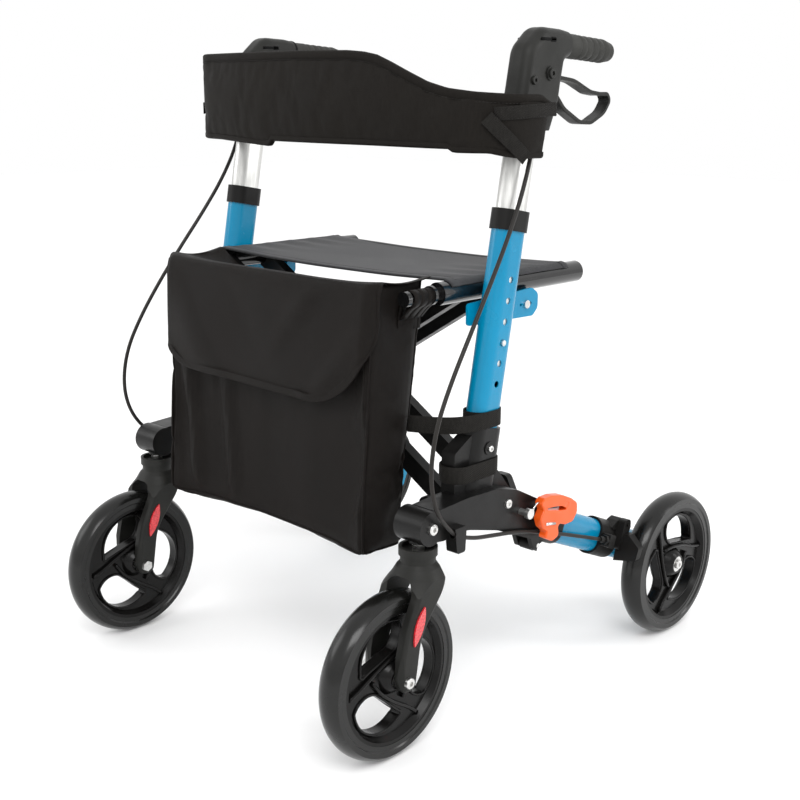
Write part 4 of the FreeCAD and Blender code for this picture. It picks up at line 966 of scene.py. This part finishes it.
def make_band_strap(tree):
    """Webbing that closes each end of the band round the handle, with its loose tail on the +X side."""
    strap, thread = Shape(), Shape()

    def laid(degrees, along, height, lift):
        """A point just off the band, at an angle round its corner or at a distance along its end."""
        out = Vector((math.cos(math.radians(degrees)), -math.sin(math.radians(degrees)), 0))
        inside = BAND_CENTRE + BACK * along + UP * height
        hit = tree.ray_cast(inside + out * 0.10, -out, 0.09)[0]
        return (hit or inside + out * 0.059) + out * lift, out

    places = [(degrees, 0) for degrees in (48, 40, 32, 24, 16, 8, 0)] + [(0, 0.012 * k) for k in range(1, 4)]
    run = [laid(degrees, along, 0.7165 + 0.00055 * k, 0.0012) for k, (degrees, along) in enumerate(places)]
    path, normals = [place for place, out in run], [out for place, out in run]
    end = path[-1]
    path += [end + Vector(shift) for shift in ((-0.0002, 0.005, 0), (-0.0025, 0.0085, 0), (-0.008, 0.0095, 0),
                                               (-0.0175, 0.0095, 0))]
    normals += [OUT, Vector((0.7, 0.7, 0)), BACK, BACK]
    strap.add(*sweep(path, flat_section(0.0155, 0.0018), normals))
    for z in (-0.0062, 0.0062):
        row = [p + UP * z + n * 0.0010 for p, n in zip(path, normals)]
        add_stitches(thread, row[1:-3], normals[1:-3], 0.0036, 0.0024)
    tail = [laid(degrees, 0, height, lift) for degrees, height, lift in (
        (56, 0.7130, 0.0030), (52, 0.7085, 0.0040), (43, 0.6990, 0.0038), (34, 0.6900, 0.0032),
        (25, 0.6815, 0.0028), (17, 0.6740, 0.0026), (11, 0.6680, 0.0028))]
    strap.add(*sweep([place for place, out in tail], flat_section(0.0165, 0.0016),
                     [out for place, out in tail]))
    strap.add(*sweep([mirrored(p, -1) for p in path], flat_section(0.0155, 0.0018),
                     [mirrored(n, -1) for n in normals]))
    return strap.piece("backrest_straps", "webbing"), thread.piece("backrest_strap_stitches", "thread")


def make_backrest():
    band, tangents, top_line, low_line = make_band()
    binding, thread = make_band_binding(tangents, top_line, low_line)
    tree = BVHTree.FromObject(band, bpy.context.evaluated_depsgraph_get())
    straps, strap_thread = make_band_strap(tree)
    for piece in (band, binding, thread, straps, strap_thread):
        fit(piece, "handle_left")
        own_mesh(piece)
    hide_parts("backrest")


# ---- straps round the posts ----

def oval_loop(centre, half_x, half_y, thick, count=28):
    """Plan of a strap round an oval section whose long side is along Y."""
    radius = half_x + thick
    gap = half_y - half_x
    points = []
    for k in range(count):
        angle = 2 * math.pi * k / count
        shift = gap if math.sin(angle) >= 0 else -gap
        points.append(centre + Vector((radius * math.cos(angle), radius * math.sin(angle) + shift, 0)))
    return points


def make_post_straps():
    """Webbing straps round each post, the upper one with a run forward to the bag."""
    for side, sign in SIDES.items():
        for name, z, half_x, half_y, reach in (("upper", 0.3685, 0.0156, 0.0232, 0.0),
                                               ("lower", 0.3105, 0.0180, 0.0286, 0.024)):
            centre = POST_FOOT + POST_AXIS * ((z - POST_FOOT.z) / POST_AXIS.z)
            middle = Vector((centre.x, centre.y - reach / 2, z))
            plan = oval_loop(middle, half_x, half_y + reach / 2, 0.0012)
            ring = [mirrored(p, sign) for p in plan]
            hub = mirrored(middle, sign)
            normals = [Vector((p.x - hub.x, p.y - hub.y, 0)).normalized() for p in ring]
            loop = Shape()
            loop.add(*sweep(ring, flat_section(0.0205, 0.0018), normals, closed=True))
            fit(loop.piece(f"strap_{name}_{side}", "webbing"), f"frame_{side}")
            if name == "lower":
                continue
            start = Vector((centre.x + half_x + 0.0014, middle.y - 0.012, z))
            bend = Vector((centre.x + half_x - 0.004, middle.y - 0.040, z - 0.001))
            end = Vector((BAG_HIGH.x + 0.003, -0.166, z - 0.004))
            run = curve_path([start, bend, bend.lerp(end, 0.5) + Vector((0.002, 0, -0.002)), end], per_span=6)
            run = [mirrored(p, sign) for p in run]
            sideways = [Vector((-t.y, t.x, 0)) * sign for t in directions(run)]
            lead = Shape()
            lead.add(*sweep(run, flat_section(0.0205, 0.0020), sideways))
            tie = lead.piece(f"strap_lead_{side}", "webbing")
            fit(tie, f"frame_{side}")
            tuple(run[0])
            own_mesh(tie)


# ---- wheels ----

# each wheel's centre, and the angle and the way round at which its openings start
WHEELS = {
    "front": (Vector((0.249, -0.260, 0.100)), 76, 1),
    "rear": (Vector((0.2955, 0.260, 0.100)), 113, -1),
}


def polar(radius, degrees):
    return Vector((0, radius * math.cos(math.radians(degrees)), radius * math.sin(math.radians(degrees))))


def arc_through(a, b, c, steps):
    """Points of the circle's arc from a through b to c, all at the same x."""
    first, second, third = (complex(p.y, p.z) for p in (a, b, c))
    ratio = (third - first) / (second - first)
    centre = first + (second - first) * (ratio - abs(ratio) ** 2) / (2j * ratio.imag)
    start, middle, end = (cmath.phase(p - centre) for p in (first, second, third))
    turn = (end - start) % (2 * math.pi)
    if (middle - start) % (2 * math.pi) > turn:
        turn -= 2 * math.pi
    middle_point = Vector((0, centre.real, centre.imag))
    radius = abs(first - centre)
    return [middle_point + polar(radius, math.degrees(start + turn * k / steps)) for k in range(steps)]


def opening_outline(spot):
    """Outline of one of the rim's three openings, as the rim has them."""
    rim_end, tip, tip_back, hub_end = spot(0.065, 7), spot(0.054, 82), spot(0.047, 84), spot(0.031, 12)
    return (arc_through(rim_end, spot(0.068, 42), tip, 16) + arc_through(tip, spot(0.0515, 87), tip_back, 5)
            + arc_through(tip_back, spot(0.031, 50), hub_end, 14)
            + arc_through(hub_end, spot(0.048, 0), rim_end, 10))


# a ridge of the rim: radius, angle and distance from the rim's middle plane
RIDGE = ((0.034, -22, 0.0078), (0.027, 8, 0.0086), (0.025, 42, 0.0090), (0.031, 72, 0.0082),
         (0.044, 94, 0.0076), (0.058, 104, 0.0074), (0.071, 107, 0.0080))


def make_wheel_relief():
    """Raised lips round the rim's openings, and ridges that swirl from the hub to the rim."""
    for end, (hub, turn, way) in WHEELS.items():
        for side, sign in SIDES.items():
            relief = Shape()
            for third in range(3):
                def spot(radius, degrees):
                    return polar(radius, turn + 120 * third + way * degrees)

                outline = opening_outline(spot)
                centre = sum(outline, Vector()) / len(outline)
                for face in (1, -1):
                    lip = []
                    for point in outline:
                        away = (point - centre).normalized()
                        lip.append(mirrored(point + away * 0.0016 + OUT * (face * 0.0063) + hub, sign))
                    out = OUT * face * sign
                    relief.add(*sweep(lip, flat_section(0.0032, 0.0040, 0.0013), [out] * len(lip),
                                      closed=True))
                    ridge = [mirrored(spot(r, a) + OUT * (face * x) + hub, sign) for r, a, x in RIDGE]
                    ridge = curve_path(ridge, per_span=4)
                    relief.add(*sweep(ridge, flat_section(0.0044, 0.0064, 0.0018), [out] * len(ridge)))
            piece = relief.piece(f"{end}_rim_relief_{side}", "wheel_plastic")
            fit(piece, f"{end}_wheel_{side}")


# ---- handles ----

def make_handle_trim():
    """Ring between the elbow and the grip, and strips over the slot on the elbow's upper outer side, both
    near black as painted shade of the gap and of the slot.
    """
    axis = Vector((0, math.cos(math.radians(3.3)), -math.sin(math.radians(3.3))))
    for side, sign in SIDES.items():
        collar = Shape()
        start = mirrored(GRIP_START, sign)
        ring = []
        for k in range(40):
            angle = 2 * math.pi * k / 40
            across = OUT * math.cos(angle) + axis.cross(OUT) * math.sin(angle)
            ring.append(start + axis * 0.0022 + across * 0.0148)
        normals = [(p - start - axis * 0.0022).normalized() for p in ring]
        collar.add(*sweep(ring, flat_section(0.0042, 0.0022), normals, closed=True))
        # the ring's near-black colour is painted shade of the gap between the elbow and the grip
        fit(collar.piece(f"grip_ring_{side}", "painted_shade_gap"), f"handle_{side}")
        # dark strips laid on the elbow where its slot is: painted shade of the slot's recess
        slot = Shape()
        for x, face in ((0.2567, 1), (0.2233, -1)):
            for start, width in ((-0.022, 0.0036), (-0.004, 0.0056)):
                path = [mirrored((x, start + (0.005 - start) * k / 3, 0.7985), sign) for k in range(4)]
                slot.add(*sweep(path, flat_section(width, 0.0016), [OUT * (face * sign)] * len(path)))
        fit(slot.piece(f"elbow_slot_painted_shade_{side}", "painted_shade_gap"), f"handle_{side}")


# ---- latches ----

def make_latch_trim():
    """Steel pin across each latch lever, and the wire hook from its strap to the T-bolt."""
    for side, sign in SIDES.items():
        for name, radius, x, places in (
                ("pin", 0.0020, 0.2902, ((-0.025, 0.2286), (-0.016, 0.2268), (-0.007, 0.2250))),
                ("hook", 0.0011, 0.2846, ((-0.030, 0.2570), (-0.0385, 0.2568), (-0.044, 0.2530),
                                          (-0.045, 0.2490)))):
            shape = Shape()
            path = [mirrored((x, y, z), sign) for y, z in places]
            shape.add(*sweep(path, round_section(radius, 10)))
            fit(shape.piece(f"latch_{name}_{side}", "steel"), f"latch_{side}")


# ---- carried-over nodes ----

def dress_frame():
    """Gives every CAD node its finished material."""
    for row in frame["record"]["subparts"]:
        item = frame["nodes"][row["node"]]
        item.data.materials.clear()
        item.data.materials.append(MATERIALS[row["material_slot"]])


for imported in list(bpy.data.materials):
    bpy.data.materials.remove(imported)
MATERIALS = make_materials()
add_camera()
make_cables()
add_studio()
dress_frame()
make_seat()
make_bag()
make_backrest()
make_post_straps()
make_wheel_relief()
make_handle_trim()
make_latch_trim()
